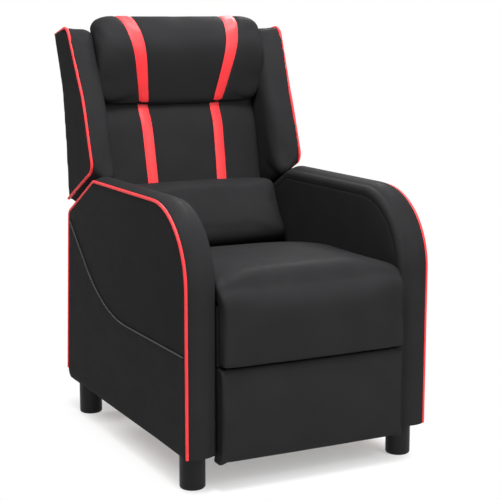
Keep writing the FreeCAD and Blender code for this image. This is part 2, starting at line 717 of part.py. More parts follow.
def back_bracket():
    """Steel bracket from the recline hinge to a stile, with the drive slot below the hinge."""
    ends = (INNER_LAYER_X, INNER_LAYER_X + LINK_THICKNESS)
    wide = 2 * LINK_HALF_WIDTH
    stile_middle = (STILE_FRONT + STILE_REAR) / 2
    foot = STILE_BOTTOM + STILE_THICKNESS
    radial = turned(DOWN, -RECLINE_ANGLE / 2)
    slot_end = SLOT_PIN + radial * SLOT_TRAVEL
    shapes = [bar(RECLINE_HINGE, leaned(STILE_REAR - wide, foot), wide, *ends),
              bar(leaned(stile_middle, foot), leaned(stile_middle, 0), STILE_THICKNESS / 2, *ends),
              bar(RECLINE_HINGE, slot_end, SLOT_ARM_HALF_WIDTH, *ends)]
    plate = bored(fused(shapes), [RECLINE_HINGE], RUNNING_GAP)
    slot = bar(SLOT_PIN - radial * SLOT_GAP, slot_end + radial * SLOT_GAP, PIN_RADIUS + SLOT_GAP, *ends)
    return plate.cut(slot)


def back_rail_heights():
    """Heights of the lower, middle and top rails up the backrest."""
    top = STILE_TOP - BACK_RAIL_HEIGHT
    middle = WING_FRONT_BOTTOM + 2 * BACK_RAIL_HEIGHT
    return {"lower": BACK_PAD_BOTTOM, "middle": middle, "top": top}


def back_frame():
    """Stiles, rails, wing outriggers and webbing of the backrest."""
    depth = (STILE_FRONT, STILE_REAR)
    stile = leaned_block(STILE_X, INNER_LAYER_X, depth, (STILE_BOTTOM, STILE_TOP))
    rails = []
    outriggers = []
    for name, low in back_rail_heights().items():
        span = (low, low + BACK_RAIL_HEIGHT)
        rails.append(leaned_block(-STILE_X, STILE_X, depth, span))
        if name != "lower":
            outriggers.append(leaned_block(INNER_LAYER_X, WING_INNER_X + OUTRIGGER_REACH, depth, span))
    straps = []
    first = BACK_PAD_BOTTOM
    step = (STILE_TOP - WEBBING_WIDTH - first) / (WEBBING_COUNT - 1)
    for index in range(WEBBING_COUNT):
        low = first + index * step
        strap = leaned_block(-INNER_LAYER_X, INNER_LAYER_X, (STILE_FRONT - WEBBING_THICKNESS, STILE_FRONT),
                             (low, low + WEBBING_WIDTH))
        straps.append(strap)
    outrigger_pairs = outriggers + [mirrored(shape) for shape in outriggers]
    return {"back_stiles": pair(stile), "back_rails": Part.makeCompound(rails),
            "wing_outriggers": Part.makeCompound(outrigger_pairs), "back_webbing": Part.makeCompound(straps)}


def wing_corners():
    """Side profile of a wing, from its rear foot round the front to its rear top and waist."""
    return [
        (leaned(WING_REAR_BOTTOM, WING_REAR_FOOT), 0),
        (leaned(WING_FRONT, WING_FRONT_BOTTOM), WING_FRONT_RADIUS),
        (leaned(WING_BEND_FRONT, WING_WAIST_HEIGHT), WING_BEND_RADIUS),
        (leaned(WING_TOP_FRONT, WING_TOP), WING_TOP_RADIUS),
        (leaned(WING_REAR_TOP, WING_TOP), 0),
        (leaned(WING_REAR_WAIST, WING_WAIST_HEIGHT), WING_WAIST_RADIUS)]


def wing_pieces():
    """Padded wing, rounded on its inner front edge, and its piping, left side."""
    wing = slab(outline(wing_corners()), WING_INNER_X, WING_OUTER_X)
    bend = leaned(WING_BEND_FRONT, WING_WAIST_HEIGHT)
    inner = [edge for edge in wing.Edges if abs(edge.BoundBox.XMax - WING_INNER_X) < TOLERANCE]
    crest = bend + Vector(WING_INNER_X, 0, 0)
    front = min(inner, key=lambda edge: edge.CenterOfMass.distanceToPoint(crest))
    wing = wing.makeFillet(WING_INNER_RADIUS, [front])
    path = outline(wing_corners()[:5], closed=False)
    path.translate(Vector(WING_OUTER_X + PIPING_PROUD - PIPING_RADIUS, 0, 0))
    piping = swept(path, PIPING_RADIUS)
    return wing.cut(piping), piping


def back_pad_section(fullness):
    """Side profile of the back pad."""
    face = -BACK_PAD_CROWN * fullness
    return [
        (leaned(face, BACK_PAD_BOTTOM), EDGE_RADIUS),
        (leaned(face, BACK_PAD_TOP), HEM_RADIUS),
        (leaned(BACK_PAD_THICKNESS, BACK_PAD_TOP), TUCKED_RADIUS),
        (leaned(BACK_PAD_THICKNESS, BACK_PAD_BOTTOM), TUCKED_RADIUS)]


def headrest_section(fullness):
    """Side profile of the headrest pillow, drawn in towards its ends."""
    middle = ((HEADREST_TOP_FRONT + HEADREST_REAR) / 2, (HEADREST_TOP + HEADREST_BOTTOM) / 2)
    scale = HEADREST_END_SCALE + (1 - HEADREST_END_SCALE) * fullness
    corners = [
        (HEADREST_REAR, HEADREST_BOTTOM, TUCKED_RADIUS),
        (HEADREST_TOP_FRONT, HEADREST_BOTTOM, HEADREST_CHIN_RADIUS),
        (HEADREST_FRONT, middle[1], HEADREST_FACE_RADIUS),
        (HEADREST_TOP_FRONT, HEADREST_TOP, HEADREST_BROW_RADIUS),
        (HEADREST_REAR, HEADREST_TOP, HEM_RADIUS)]
    section = []
    for back, up, radius in corners:
        point = leaned(middle[0] + (back - middle[0]) * scale, middle[1] + (up - middle[1]) * scale)
        section.append((point, radius * scale))
    return section


def lumbar_section(fullness):
    """Side profile of the lumbar cushion, thicker towards the seat."""
    bulge = LUMBAR_CROWN * fullness
    return [
        (leaned(0, LUMBAR_TOP - LUMBAR_CROWN + bulge), EDGE_RADIUS),
        (leaned(LUMBAR_TOP_FRONT - bulge, LUMBAR_TOP - LUMBAR_CROWN + bulge), LUMBAR_TOP_RADIUS),
        (leaned(LUMBAR_BOTTOM_FRONT - bulge, LUMBAR_BOTTOM), LUMBAR_BOTTOM_RADIUS),
        (leaned(0, LUMBAR_BOTTOM), EDGE_RADIUS)]


def skin(cushion, region):
    """Thin inlay of a cushion's front face inside a region."""
    inner = cushion.copy()
    inner.translate((leaned(1, 0) - leaned(0, 0)) * STRIPE_THICKNESS)
    return cushion.common(region).cut(inner)


def stripe_region(low, high):
    """Slanting prism of a stripe; each end is (height up the back, offset from the middle, width)."""
    ends = []
    for up, offset, width in (low, high):
        point = leaned(-STRIPE_REACH, up)
        ends.append([point + Vector(offset - width / 2, 0, 0), point + Vector(offset + width / 2, 0, 0)])
    corners = [ends[0][0], ends[0][1], ends[1][1], ends[1][0]]
    face = Part.Face(Part.makePolygon(corners + corners[:1]))
    return face.extrude((leaned(1, 0) - leaned(0, 0)) * STRIPE_CUT_DEPTH)


def striped(cushion, region):
    """Cushion with a stripe let into it on each side, and the stripes."""
    stripe = skin(cushion, region)
    stripes = [stripe, mirrored(stripe)]
    return cushion.cut(stripes), Part.makeCompound(stripes)


def massage_motors():
    """Vibration motors of the lumbar cushion, and the pockets that take them from behind."""
    face = (LUMBAR_TOP_FRONT + LUMBAR_BOTTOM_FRONT) / 2 + MOTOR_COVER
    along = leaned(1, 0) - leaned(0, 0)
    motors = []
    pockets = []
    for side in (-1, 1):
        centre = leaned(face, (LUMBAR_TOP + LUMBAR_BOTTOM) / 2) + Vector(side * MOTOR_SPACING / 2, 0, 0)
        motors.append(Part.makeCylinder(MOTOR_RADIUS, MOTOR_THICKNESS, centre, along))
        pockets.append(Part.makeCylinder(MOTOR_RADIUS + SEATING_GAP, -face, centre, along))
    return motors, pockets


def back_outer_panel():
    """Rear cover of the backrest, turned forward over the top of the stiles."""
    inner = STILE_REAR + SEATING_GAP
    front = BACK_PAD_THICKNESS + SEATING_GAP
    under = STILE_TOP + SEATING_GAP
    corners = [
        (inner, BACK_PANEL_BOTTOM, 0), (inner, under, 0), (front, under, 0),
        (front, WING_TOP, EDGE_RADIUS), (WING_REAR_TOP, WING_TOP, EDGE_RADIUS),
        (WING_REAR_WAIST, WING_WAIST_HEIGHT, WING_WAIST_RADIUS),
        (WING_REAR_BOTTOM, WING_REAR_FOOT, PANEL_FOOT_RADIUS),
        (WING_REAR_BOTTOM, BACK_PANEL_BOTTOM, EDGE_RADIUS)]
    wire = outline([(leaned(back, up), radius) for back, up, radius in corners])
    return slab(wire, -BACK_HALF, BACK_HALF)


def backrest_pieces():
    """Every piece that leans with the backrest."""
    nodes = back_frame()
    wing, wing_trim = wing_pieces()
    wing = wing.cut(nodes["wing_outriggers"])
    pad = crowned(back_pad_section, stations_across(BACK_HALF))
    headrest = crowned(headrest_section, stations_across(BACK_HALF + HEADREST_OVERLAP))
    headrest = headrest.cut([pad, wing, mirrored(wing)])
    lumbar = crowned(lumbar_section, stations_across(BACK_HALF - WING_GAP))
    motors, pockets = massage_motors()
    lumbar = lumbar.cut([pad, *pockets])
    back_region = stripe_region((LUMBAR_TOP - STRIPE_TUCK, STRIPE_OFFSET, STRIPE_WIDTH),
                                (HEADREST_BOTTOM + STRIPE_TUCK, CREASE_STRIPE_OFFSET, STRIPE_WIDTH))
    head_region = stripe_region((HEADREST_BOTTOM, CREASE_STRIPE_OFFSET, STRIPE_WIDTH),
                                (HEADREST_TOP, HEAD_STRIPE_TOP_OFFSET, HEAD_STRIPE_WIDTH))
    pad, back_stripes = striped(pad, back_region)
    headrest, head_stripes = striped(headrest, head_region)
    nodes.update({
        "left_wing": wing, "right_wing": mirrored(wing),
        "left_wing_piping": wing_trim, "right_wing_piping": mirrored(wing_trim),
        "back_cushion": pad, "back_stripes": back_stripes, "headrest": headrest,
        "headrest_stripes": head_stripes, "lumbar_cushion": lumbar,
        "massage_motors": Part.makeCompound(motors), "back_outer_panel": back_outer_panel(),
        "back_brackets": pair(back_bracket())})
    return nodes


def base_pieces():
    """Every piece that stays still: arms, legs, seat and side plates."""
    nodes = {}
    for name, shape in arm_pieces().items():
        nodes["left_" + name] = shape
        nodes["right_" + name] = mirrored(shape)
    nodes["side_pocket"] = mirrored(side_pocket())
    studs = []
    for end, depth in LEG_DEPTHS.items():
        nodes[end + "_left_leg"] = leg(depth)
        nodes[end + "_right_leg"] = mirrored(leg(depth))
        studs += [leg_stud(depth), mirrored(leg_stud(depth))]
    nodes["leg_studs"] = Part.makeCompound(studs)
    nodes["rear_rail"] = rear_rail()
    nodes.update(seat_rails())
    nodes.update(seat_springs())
    nodes["seat_cushion"] = seat_cushion()
    nodes["side_plates"] = pair(side_plate())
    nodes["arm_spacers"] = Part.makeCompound(spacers() + [mirrored(shape) for shape in spacers()])
    nodes["arm_bolts"] = Part.makeCompound(arm_bolts() + [mirrored(shape) for shape in arm_bolts()])
    nodes["frame_pins"] = frame_pins()
    return nodes


def linkage_pieces():
    """Links, tube, rods and pins of the footrest linkage."""
    return {
        "rear_links": pair(rear_link()), "torque_tube": torque_tube(),
        "rear_link_pins": outer_pins([REAR_KNEE, CRANK_PIN]),
        "front_links": pair(front_link()), "front_link_pins": outer_pins([FRONT_KNEE, FOLLOWER_KNEE]),
        "carrier_links": pair(outer_link(REAR_KNEE, EAR_LOWER, [FRONT_KNEE])),
        "follower_links": pair(outer_link(FOLLOWER_KNEE, EAR_UPPER)),
        "drive_rods": pair(drive_rod())}


def main():
    """Build every piece, centre the footprint on the origin and write one STEP file per node."""
    os.makedirs("parts", exist_ok=True)
    nodes = {**base_pieces(), **linkage_pieces(), **footrest_pieces(), **backrest_pieces()}
    box = Part.makeCompound(list(nodes.values())).optimalBoundingBox(False)
    centring = Vector(0, -(box.YMin + box.YMax) / 2, 0)
    for name, shape in nodes.items():
        shape.translate(centring)
        shape.exportStep("parts/" + name + ".step")
    print("least spring gap", round(least_spring_gap(), 2))
    print("size", round(box.XLength, 1), round(box.YLength, 1), round(box.ZLength, 1))
    pivots = {"rear_pivot": REAR_PIVOT, "front_pivot": FRONT_PIVOT, "rear_knee": REAR_KNEE,
              "follower_knee": FOLLOWER_KNEE, "ear_lower": EAR_LOWER, "crank_pin": CRANK_PIN,
              "recline_hinge": RECLINE_HINGE}
    for name, point in pivots.items():
        place = point + centring
        print("pivot", name, round(place.y, 4), round(place.z, 4))
    for end, depth in LEG_DEPTHS.items():
        print("foot", end, round(LEG_X, 4), round(depth + centring.y, 4))


main()
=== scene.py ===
"""Push-back gaming recliner in black PU leather with red trim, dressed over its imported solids.

The solids give every place and size. Side profiles are drawn as (depth, height) in millimetres,
where depth runs back from the front of the arms, and the backrest has its own leaning axes.
"""
import json
import logging
import math
from contextlib import contextmanager
from dataclasses import dataclass, field
from enum import Enum
from typing import Callable, Iterator, Sequence

import bpy
import numpy as np
from mathutils import Matrix, Vector
from mathutils.kdtree import KDTree

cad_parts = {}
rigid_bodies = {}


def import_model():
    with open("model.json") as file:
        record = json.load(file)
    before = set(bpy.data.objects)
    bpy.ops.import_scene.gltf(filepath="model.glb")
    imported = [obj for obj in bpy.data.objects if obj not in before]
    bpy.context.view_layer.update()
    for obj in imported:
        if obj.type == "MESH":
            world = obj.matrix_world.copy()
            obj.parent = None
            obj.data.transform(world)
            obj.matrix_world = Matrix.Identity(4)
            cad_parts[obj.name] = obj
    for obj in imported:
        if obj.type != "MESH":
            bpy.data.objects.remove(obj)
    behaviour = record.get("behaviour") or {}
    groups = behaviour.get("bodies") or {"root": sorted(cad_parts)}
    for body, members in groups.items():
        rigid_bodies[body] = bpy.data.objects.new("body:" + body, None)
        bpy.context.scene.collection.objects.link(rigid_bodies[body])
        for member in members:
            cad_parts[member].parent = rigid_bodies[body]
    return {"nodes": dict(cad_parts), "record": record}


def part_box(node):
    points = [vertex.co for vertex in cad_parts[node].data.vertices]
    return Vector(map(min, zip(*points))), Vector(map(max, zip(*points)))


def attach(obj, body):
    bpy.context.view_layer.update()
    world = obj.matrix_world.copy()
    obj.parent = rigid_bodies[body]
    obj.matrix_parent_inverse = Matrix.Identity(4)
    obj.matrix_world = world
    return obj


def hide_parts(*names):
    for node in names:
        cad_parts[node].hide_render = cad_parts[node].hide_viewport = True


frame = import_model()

LOG = logging.getLogger("recliner")
MM = 0.001
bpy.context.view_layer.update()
# Segments of a band's crown, a round piping and a rolled edge.
CROWN_STEPS = 14
PIPE_STEPS = 4
EDGE_STEPS = 5
# Shares of a cushion's half-width: from where its sides spread, and what counts as its middle.
SIDE_FROM = 0.9
CORNER_MIDDLE = 0.6
# Slices that a cushion's edge is followed in, and how square its drawn-out corners are.
EDGE_SLICES = 40
CORNER_POWER = 5.0
# How far a strip's face may turn to the rear, and how its thickness is set: -1 inside, 1 outside.
STRIP_BACK = 0.55
STRIP_PROUD = 0.6
MERGE_MM = 0.01
SMOOTHING = 0.5
TINY = 1e-9
# Shares of a direction at which a point starts to count, and fully counts, as facing that way.
FACING = (0.5, 0.8)
FLANK = (0.6, 0.9)
DEPTH_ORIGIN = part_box("left_arm_band")[0].y
# Turns a drawing on the (depth, height) sheet into the chair's side plane.
TO_SIDE = Matrix(((0, 0, 1, 0), (1, 0, 0, DEPTH_ORIGIN), (0, 1, 0, 0), (0, 0, 0, 1)))

Pair = tuple[float, float]
Place = tuple[float, float, float]
Corner = tuple[float, float, float]
Plane = tuple[Vector, Vector]
Rows = np.ndarray
Piece = bpy.types.Object
Material = bpy.types.Material
Tree = bpy.types.NodeTree
Socket = bpy.types.NodeSocket
Held = Callable[[Rows, Rows], Rows]


class Body(str, Enum):
    """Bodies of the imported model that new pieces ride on."""

    BASE = "base"
    BACKREST = "backrest"
    FOOTREST = "footrest"


class Slot(str, Enum):
    """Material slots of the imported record."""

    BLACK = "black_leather"
    RED = "red_leather"
    PLYWOOD = "plywood"
    BLACK_STEEL = "black_steel"
    ZINC = "zinc_steel"
    PLASTIC = "black_plastic"
    WEBBING = "webbing"


def linear(colour: str) -> tuple[float, float, float, float]:
    """Turn an sRGB hex colour into linear red, green, blue and alpha.

    Args:
        colour: six hex digits after a hash.

    Returns:
        Linear values from 0 to 1.
    """
    shares = [int(colour[place:place + 2], 16) / 255 for place in (1, 3, 5)]
    curved = [s / 12.92 if s <= 0.04045 else ((s + 0.055) / 1.055) ** 2.4 for s in shares]
    return (*curved, 1.0)


def add_node(tree: Tree, kind: str, inputs: dict | None = None,
             **settings: object) -> bpy.types.Node:
    """Add a shader node with its settings, values and links.

    Args:
        tree: node tree of a material or the world.
        kind: the node's type, without the start that all shader nodes share.
        inputs: sockets by name or number, each with a value or another node's output.
        settings: the node's own properties.

    Returns:
        The new node.
    """
    node = tree.nodes.new(f"ShaderNode{kind}")
    for name, value in settings.items():
        setattr(node, name, value)
    for key, value in (inputs or {}).items():
        if isinstance(value, Socket):
            tree.links.new(value, node.inputs[key])
        else:
            node.inputs[key].default_value = value
    return node


def fresh_material(name: str) -> tuple[Material, Tree, Socket]:
    """Start an empty node material.

    Args:
        name: what the finish is.

    Returns:
        The material, its tree and its Object coordinates.
    """
    material = bpy.data.materials.new(name)
    material.use_nodes = True
    tree = material.node_tree
    tree.nodes.clear()
    return material, tree, add_node(tree, "TexCoord").outputs["Object"]


def per_metre(size_mm: float) -> float:
    """Texture scale of a pattern whose cells are a size in millimetres."""
    return 1.0 / (size_mm * MM)


def relief(bump: Pair, height: Socket) -> dict:
    """Inputs of a bump of (strength, height in millimetres) over a pattern."""
    return {"Strength": bump[0], "Distance": bump[1] * MM, "Height": height}


def around(value: Socket, middle: float, uneven: float) -> dict:
    """Inputs of a range that turns a pattern into values round a middle one."""
    return {"Value": value, "To Min": middle - uneven, "To Max": middle + uneven}


@dataclass(frozen=True)
class Finish:
    """A real surface, named for its material; each bump is (strength, height in millimetres)."""

    name: str
    colour: str

    def skin(self, tree: Tree, place: Socket) -> dict:
        """Draw the surface's patterns.

        Args:
            tree: the material's node tree.
            place: its Object coordinates.

        Returns:
            Inputs of the surface's shader by name.
        """
        raise NotImplementedError

    def material(self) -> Material:
        """Build the finish as a node material.

        Returns:
            The material.
        """
        material, tree, place = fresh_material(self.name)
        skin = add_node(tree, "BsdfPrincipled", self.skin(tree, place))
        add_node(tree, "OutputMaterial", {"Surface": skin.outputs[0]})
        return material


@dataclass(frozen=True)
class PuLeather(Finish):
    """PU leather: a polyurethane skin pressed with pebble grain on a knit back.

    The satin skin gives broad soft highlights, and the stretch over foam makes them uneven. Real
    pebbles of 0.8 mm are drawn coarser so that they show.
    """

    deep: str
    roughness: float
    specular: float
    ior: float = 1.48
    uneven: float = 0.05
    grain_mm: float = 2.2
    grain_random: float = 0.9
    grain_bump: Pair = (0.3, 0.16)
    crease_grains: float = 5.0
    crease_range: Pair = (0.3, 0.7)
    crease_bump: Pair = (0.22, 0.5)
    slack_mm: float = 85.0
    slack_bump: Pair = (0.5, 2.2)

    def skin(self, tree: Tree, place: Socket) -> dict:
        """Lay pebbles over creases over the slack of the stretched skin.

        Args:
            tree: the material's node tree.
            place: its Object coordinates.

        Returns:
            Inputs of the surface's shader by name.
        """
        pebbles = add_node(tree, "TexVoronoi", {
            "Vector": place, "Scale": per_metre(self.grain_mm), "Randomness": self.grain_random})
        creases = add_node(tree, "TexNoise", {
            "Vector": place, "Scale": per_metre(self.grain_mm * self.crease_grains), "Detail": 4.0})
        slack = add_node(tree, "TexNoise", {
            "Vector": place, "Scale": per_metre(self.slack_mm), "Detail": 2.0})
        soft = add_node(tree, "Bump", relief(self.slack_bump, slack.outputs[0]))
        folds = add_node(tree, "Bump", {
            **relief(self.crease_bump, creases.outputs[0]), "Normal": soft.outputs[0]})
        grain = add_node(tree, "Bump", {
            **relief(self.grain_bump, pebbles.outputs["Distance"]), "Normal": folds.outputs[0]})
        rough = add_node(tree, "MapRange", {
            **around(creases.outputs[0], self.roughness, self.uneven),
            "From Min": self.crease_range[0], "From Max": self.crease_range[1]})
        colour = add_node(tree, "Mix", {
            0: slack.outputs[0], 6: linear(self.deep), 7: linear(self.colour)}, data_type="RGBA")
        return {"Base Color": colour.outputs[2], "Roughness": rough.outputs[0], "Normal": grain.outputs[0],
                "Specular IOR Level": self.specular, "IOR": self.ior}


@dataclass(frozen=True)
class MouldedPlastic(Finish):
    """Moulded polypropylene with a fine sparked texture, which scatters its highlight."""

    roughness: float
    uneven: float = 0.08
    specular: float = 0.2
    ior: float = 1.49
    spark_mm: float = 1.4
    spark_bump: Pair = (0.25, 0.15)
    cloud_mm: float = 30.0

    def skin(self, tree: Tree, place: Socket) -> dict:
        """Spark the mould's texture and cloud its gloss.

        Args:
            tree: the material's node tree.
            place: its Object coordinates.

        Returns:
            Inputs of the surface's shader by name.
        """
        spark = add_node(tree, "TexNoise", {
            "Vector": place, "Scale": per_metre(self.spark_mm), "Detail": 3.0})
        cloud = add_node(tree, "TexNoise", {"Vector": place, "Scale": per_metre(self.cloud_mm)})
        bump = add_node(tree, "Bump", relief(self.spark_bump, spark.outputs[0]))
        rough = add_node(tree, "MapRange", around(cloud.outputs[0], self.roughness, self.uneven))
        return {"Base Color": linear(self.colour), "Roughness": rough.outputs[0], "Normal": bump.outputs[0],
                "Specular IOR Level": self.specular, "IOR": self.ior}


@dataclass(frozen=True)
class PressedSteel(Finish):
    """Pressed steel, powder coated or zinc plated; the plating shows pale, broken clouds."""

    cloud: str
    metallic: float
    roughness: float
    uneven: float = 0.1
    peel_mm: float = 1.8
    peel_bump: Pair = (0.2, 0.1)
    patch_mm: float = 7.0

    def skin(self, tree: Tree, place: Socket) -> dict:
        """Peel the coating and break it into patches.

        Args:
            tree: the material's node tree.
            place: its Object coordinates.

        Returns:
            Inputs of the surface's shader by name.
        """
        peel = add_node(tree, "TexNoise", {
            "Vector": place, "Scale": per_metre(self.peel_mm), "Detail": 2.0})
        patches = add_node(tree, "TexVoronoi", {"Vector": place, "Scale": per_metre(self.patch_mm)})
        bump = add_node(tree, "Bump", relief(self.peel_bump, peel.outputs[0]))
        colour = add_node(tree, "Mix", {
            0: patches.outputs["Distance"], 6: linear(self.colour), 7: linear(self.cloud)},
            data_type="RGBA")
        rough = add_node(tree, "MapRange", around(peel.outputs[0], self.roughness, self.uneven))
        return {"Base Color": colour.outputs[2], "Roughness": rough.outputs[0], "Normal": bump.outputs[0],
                "Metallic": self.metallic}


@dataclass(frozen=True)
class Plywood(Finish):
    """Sawn plywood and softwood rails: long pale and brown grain that soaks up light."""

    dark: str
    ring_mm: float = 9.0
    stretch: Place = (0.12, 1.0, 1.0)
    fibre_mm: float = 1.5
    fibre_bump: Pair = (0.3, 0.3)
    rough_range: Pair = (0.6, 0.85)

    def skin(self, tree: Tree, place: Socket) -> dict:
        """Run the grain across the chair.

        Args:
            tree: the material's node tree.
            place: its Object coordinates.

        Returns:
            Inputs of the surface's shader by name.
        """
        stretched = add_node(tree, "Mapping", {"Vector": place, "Scale": self.stretch}).outputs[0]
        rings = add_node(tree, "TexNoise", {
            "Vector": stretched, "Scale": per_metre(self.ring_mm), "Detail": 5.0})
        fibres = add_node(tree, "TexNoise", {
            "Vector": stretched, "Scale": per_metre(self.fibre_mm), "Detail": 2.0})
        colour = add_node(tree, "Mix", {
            0: rings.outputs[0], 6: linear(self.dark), 7: linear(self.colour)}, data_type="RGBA")
        bump = add_node(tree, "Bump", relief(self.fibre_bump, fibres.outputs[0]))
        rough = add_node(tree, "MapRange", {
            "Value": fibres.outputs[0], "To Min": self.rough_range[0], "To Max": self.rough_range[1]})
        return {"Base Color": colour.outputs[2], "Roughness": rough.outputs[0], "Normal": bump.outputs[0]}


@dataclass(frozen=True)
class ElasticWebbing(Finish):
    """Woven elastic webbing: a ribbed matte weave. Its pale thread colour is lightened so that the pocket's
    hem, which wears this finish, shows a painted highlight along its edge.
    """

    thread_and_hem_highlight: str
    roughness: float = 0.85
    rib_mm: float = 3.0
    rib_bump: Pair = (0.6, 0.5)

    def skin(self, tree: Tree, place: Socket) -> dict:
        """Cross two sets of ribs.

        Args:
            tree: the material's node tree.
            place: its Object coordinates.

        Returns:
            Inputs of the surface's shader by name.
        """
        scale = per_metre(self.rib_mm) / math.tau
        ribs = [add_node(tree, "TexWave", {"Vector": place, "Scale": scale}, bands_direction=axis)
                for axis in ("X", "Z")]
        weave = add_node(tree, "Math", {
            0: ribs[0].outputs["Fac"], 1: ribs[1].outputs["Fac"]}, operation="MULTIPLY")
        colour = add_node(tree, "Mix", {
            0: weave.outputs[0], 6: linear(self.colour), 7: linear(self.thread_and_hem_highlight)}, data_type="RGBA")
        bump = add_node(tree, "Bump", relief(self.rib_bump, weave.outputs[0]))
        return {"Base Color": colour.outputs[2], "Roughness": self.roughness, "Normal": bump.outputs[0]}


FINISHES: dict[Slot, Material] = {
    Slot.BLACK: PuLeather("black_pu_leather", "#272728", "#212122", 0.5, 0.008).material(),
    Slot.RED: PuLeather("red_pu_leather", "#ea393d", "#dc2d32", 0.48, 0.25, grain_mm=1.8).material(),
    Slot.PLYWOOD: Plywood("bare_plywood", "#cfa878", "#a9814f").material(),
    Slot.BLACK_STEEL: PressedSteel("powder_coated_steel", "#141415", "#1d1d1e", 0.0, 0.45).material(),
    Slot.ZINC: PressedSteel("zinc_plated_steel", "#a9aba8", "#c6c8c4", 1.0, 0.36, peel_mm=0.9).material(),
    Slot.PLASTIC: MouldedPlastic("black_polypropylene", "#101011", 0.5).material(),
    # The webbing's pale thread is lightened: the pocket hem wears this finish as a painted highlight along
    # its edge.
    Slot.WEBBING: ElasticWebbing("black_elastic_webbing", "#2c2c2e", "#6c6c70").material(),
}


def deselect() -> None:
    """Deselect every object."""
    for other in bpy.context.view_layer.objects:
        other.select_set(False)


def select_only(piece: Piece) -> None:
    """Deselect everything, then select one piece and make it active.

    Args:
        piece: the piece to select.
    """
    deselect()
    piece.select_set(True)
    bpy.context.view_layer.objects.active = piece


@contextmanager
def editing(piece: Piece, everything: bool = True) -> Iterator[None]:
    """Hold a piece in edit mode.

    Args:
        piece: the mesh to edit.
        everything: whether all of it starts selected.

    Returns:
        A context that goes back to object mode at its end.
    """
    select_only(piece)
    bpy.ops.object.mode_set(mode="EDIT")
    if everything:
        bpy.ops.mesh.select_all(action="SELECT")
    try:
        yield
    finally:
        bpy.ops.object.mode_set(mode="OBJECT")


def points(piece: Piece) -> Rows:
    """Read the places of a mesh's points.

    Args:
        piece: the mesh.

    Returns:
        One row for each point, in metres.
    """
    flat = np.empty(len(piece.data.vertices) * 3, np.float32)
    piece.data.vertices.foreach_get("co", flat)
    return flat.reshape(-1, 3).astype(float)


def directions(piece: Piece) -> Rows:
    """Read the outward directions at a mesh's points.

    Args:
        piece: the mesh.

    Returns:
        One row for each point.
    """
    flat = np.empty(len(piece.data.vertices) * 3, np.float32)
    piece.data.vertex_normals.foreach_get("vector", flat)
    return flat.reshape(-1, 3).astype(float)


def put_points(piece: Piece, places: Rows) -> None:
    """Move a mesh's points to new places."""
    piece.data.vertices.foreach_set("co", places.astype(np.float32).ravel())
    piece.data.update()


def choose(piece: Piece, kind: str, wanted: Callable[[bpy.types.bpy_struct], bool]) -> None:
    """Select points, edges or faces by their place or direction, and nothing else.

    Args:
        piece: the mesh to select in.
        kind: VERT, EDGE or FACE.
        wanted: whether a point, edge or face is selected.
    """
    mesh = piece.data
    rows = {"VERT": mesh.vertices, "EDGE": mesh.edges, "FACE": mesh.polygons}
    for items in rows.values():
        items.foreach_set("select", np.zeros(len(items), bool))
    rows[kind].foreach_set("select", np.array([wanted(item) for item in rows[kind]], bool))
    bpy.context.tool_settings.mesh_select_mode = [kind == word for word in rows]


def apply_modifier(piece: Piece, kind: str, **settings: object) -> None:
    """Add a modifier, set it and apply it.

    Args:
        piece: the mesh to change.
        kind: the modifier's type.
        settings: its properties.
    """
    select_only(piece)
    modifier = piece.modifiers.new(kind.title(), kind)
    for name, value in settings.items():
        setattr(modifier, name, value)
    bpy.ops.object.modifier_apply(modifier=modifier.name)


def smooth_shade(piece: Piece, angle: float = 60.0) -> None:
    """Shade a piece smooth, apart from edges sharper than an angle in degrees."""
    select_only(piece)
    bpy.ops.object.shade_smooth_by_angle(angle=math.radians(angle))


def dress(piece: Piece, body: Body, slot: Slot, nodes: Sequence[str] = ()) -> None:
    """Give a piece its finish, its body and the solids it stands for.

    Args:
        piece: the finished mesh.
        body: the body it rides on.
        slot: its finish.
        nodes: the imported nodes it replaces.
    """
    piece.data.materials.clear()
    piece.data.materials.append(FINISHES[slot])
    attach(piece, body.value)
    if nodes:
        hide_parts(*nodes)
    LOG.info("%s: %d faces on %s", piece.name, len(piece.data.polygons), body.value)


def add_object(name: str, data: bpy.types.ID) -> Piece:
    """Put a mesh, lamp or camera into the scene under a name.

    Args:
        name: what the object and its data are called.
        data: the mesh, lamp or camera.

    Returns:
        The new object.
    """
    data.name = name
    added = bpy.data.objects.new(name, data)
    bpy.context.scene.collection.objects.link(added)
    return added


def mirrored_copy(piece: Piece, name: str) -> Piece:
    """Copy a piece to the chair's other side.

    Args:
        piece: the piece that is there.
        name: the copy's name.

    Returns:
        The copy, with a mesh of its own.
    """
    twin = add_object(name, piece.data.copy())
    twin.data.transform(Matrix.Scale(-1, 4, Vector((1, 0, 0))))
    with editing(twin):
        bpy.ops.mesh.flip_normals()
    smooth_shade(twin)
    return twin


def dress_pair(left: Piece, body: Body, slot: Slot, nodes: Sequence[str] = ()) -> None:
    """Mirror a left piece to the right and dress both.

    Args:
        left: the finished left piece.
        body: the body that both ride on.
        slot: their finish.
        nodes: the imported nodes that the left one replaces; the right one has those of its side.
    """
    right = mirrored_copy(left, left.name.replace("left", "right"))
    dress(left, body, slot, nodes)
    dress(right, body, slot, [node.replace("left", "right") for node in nodes])


def copy_of(name: str, nodes: Sequence[str]) -> Piece:
    """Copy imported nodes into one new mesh, with its loose triangles merged.

    Args:
        name: the new piece's name.
        nodes: the nodes to copy.

    Returns:
        The new piece.
    """
    piece, *others = [add_object(name, frame["nodes"][node].data.copy()) for node in nodes]
    select_only(piece)
    for other in others:
        other.select_set(True)
    if others:
        bpy.ops.object.join()
    with editing(piece):
        bpy.ops.mesh.remove_doubles(threshold=MERGE_MM * MM)
    return piece


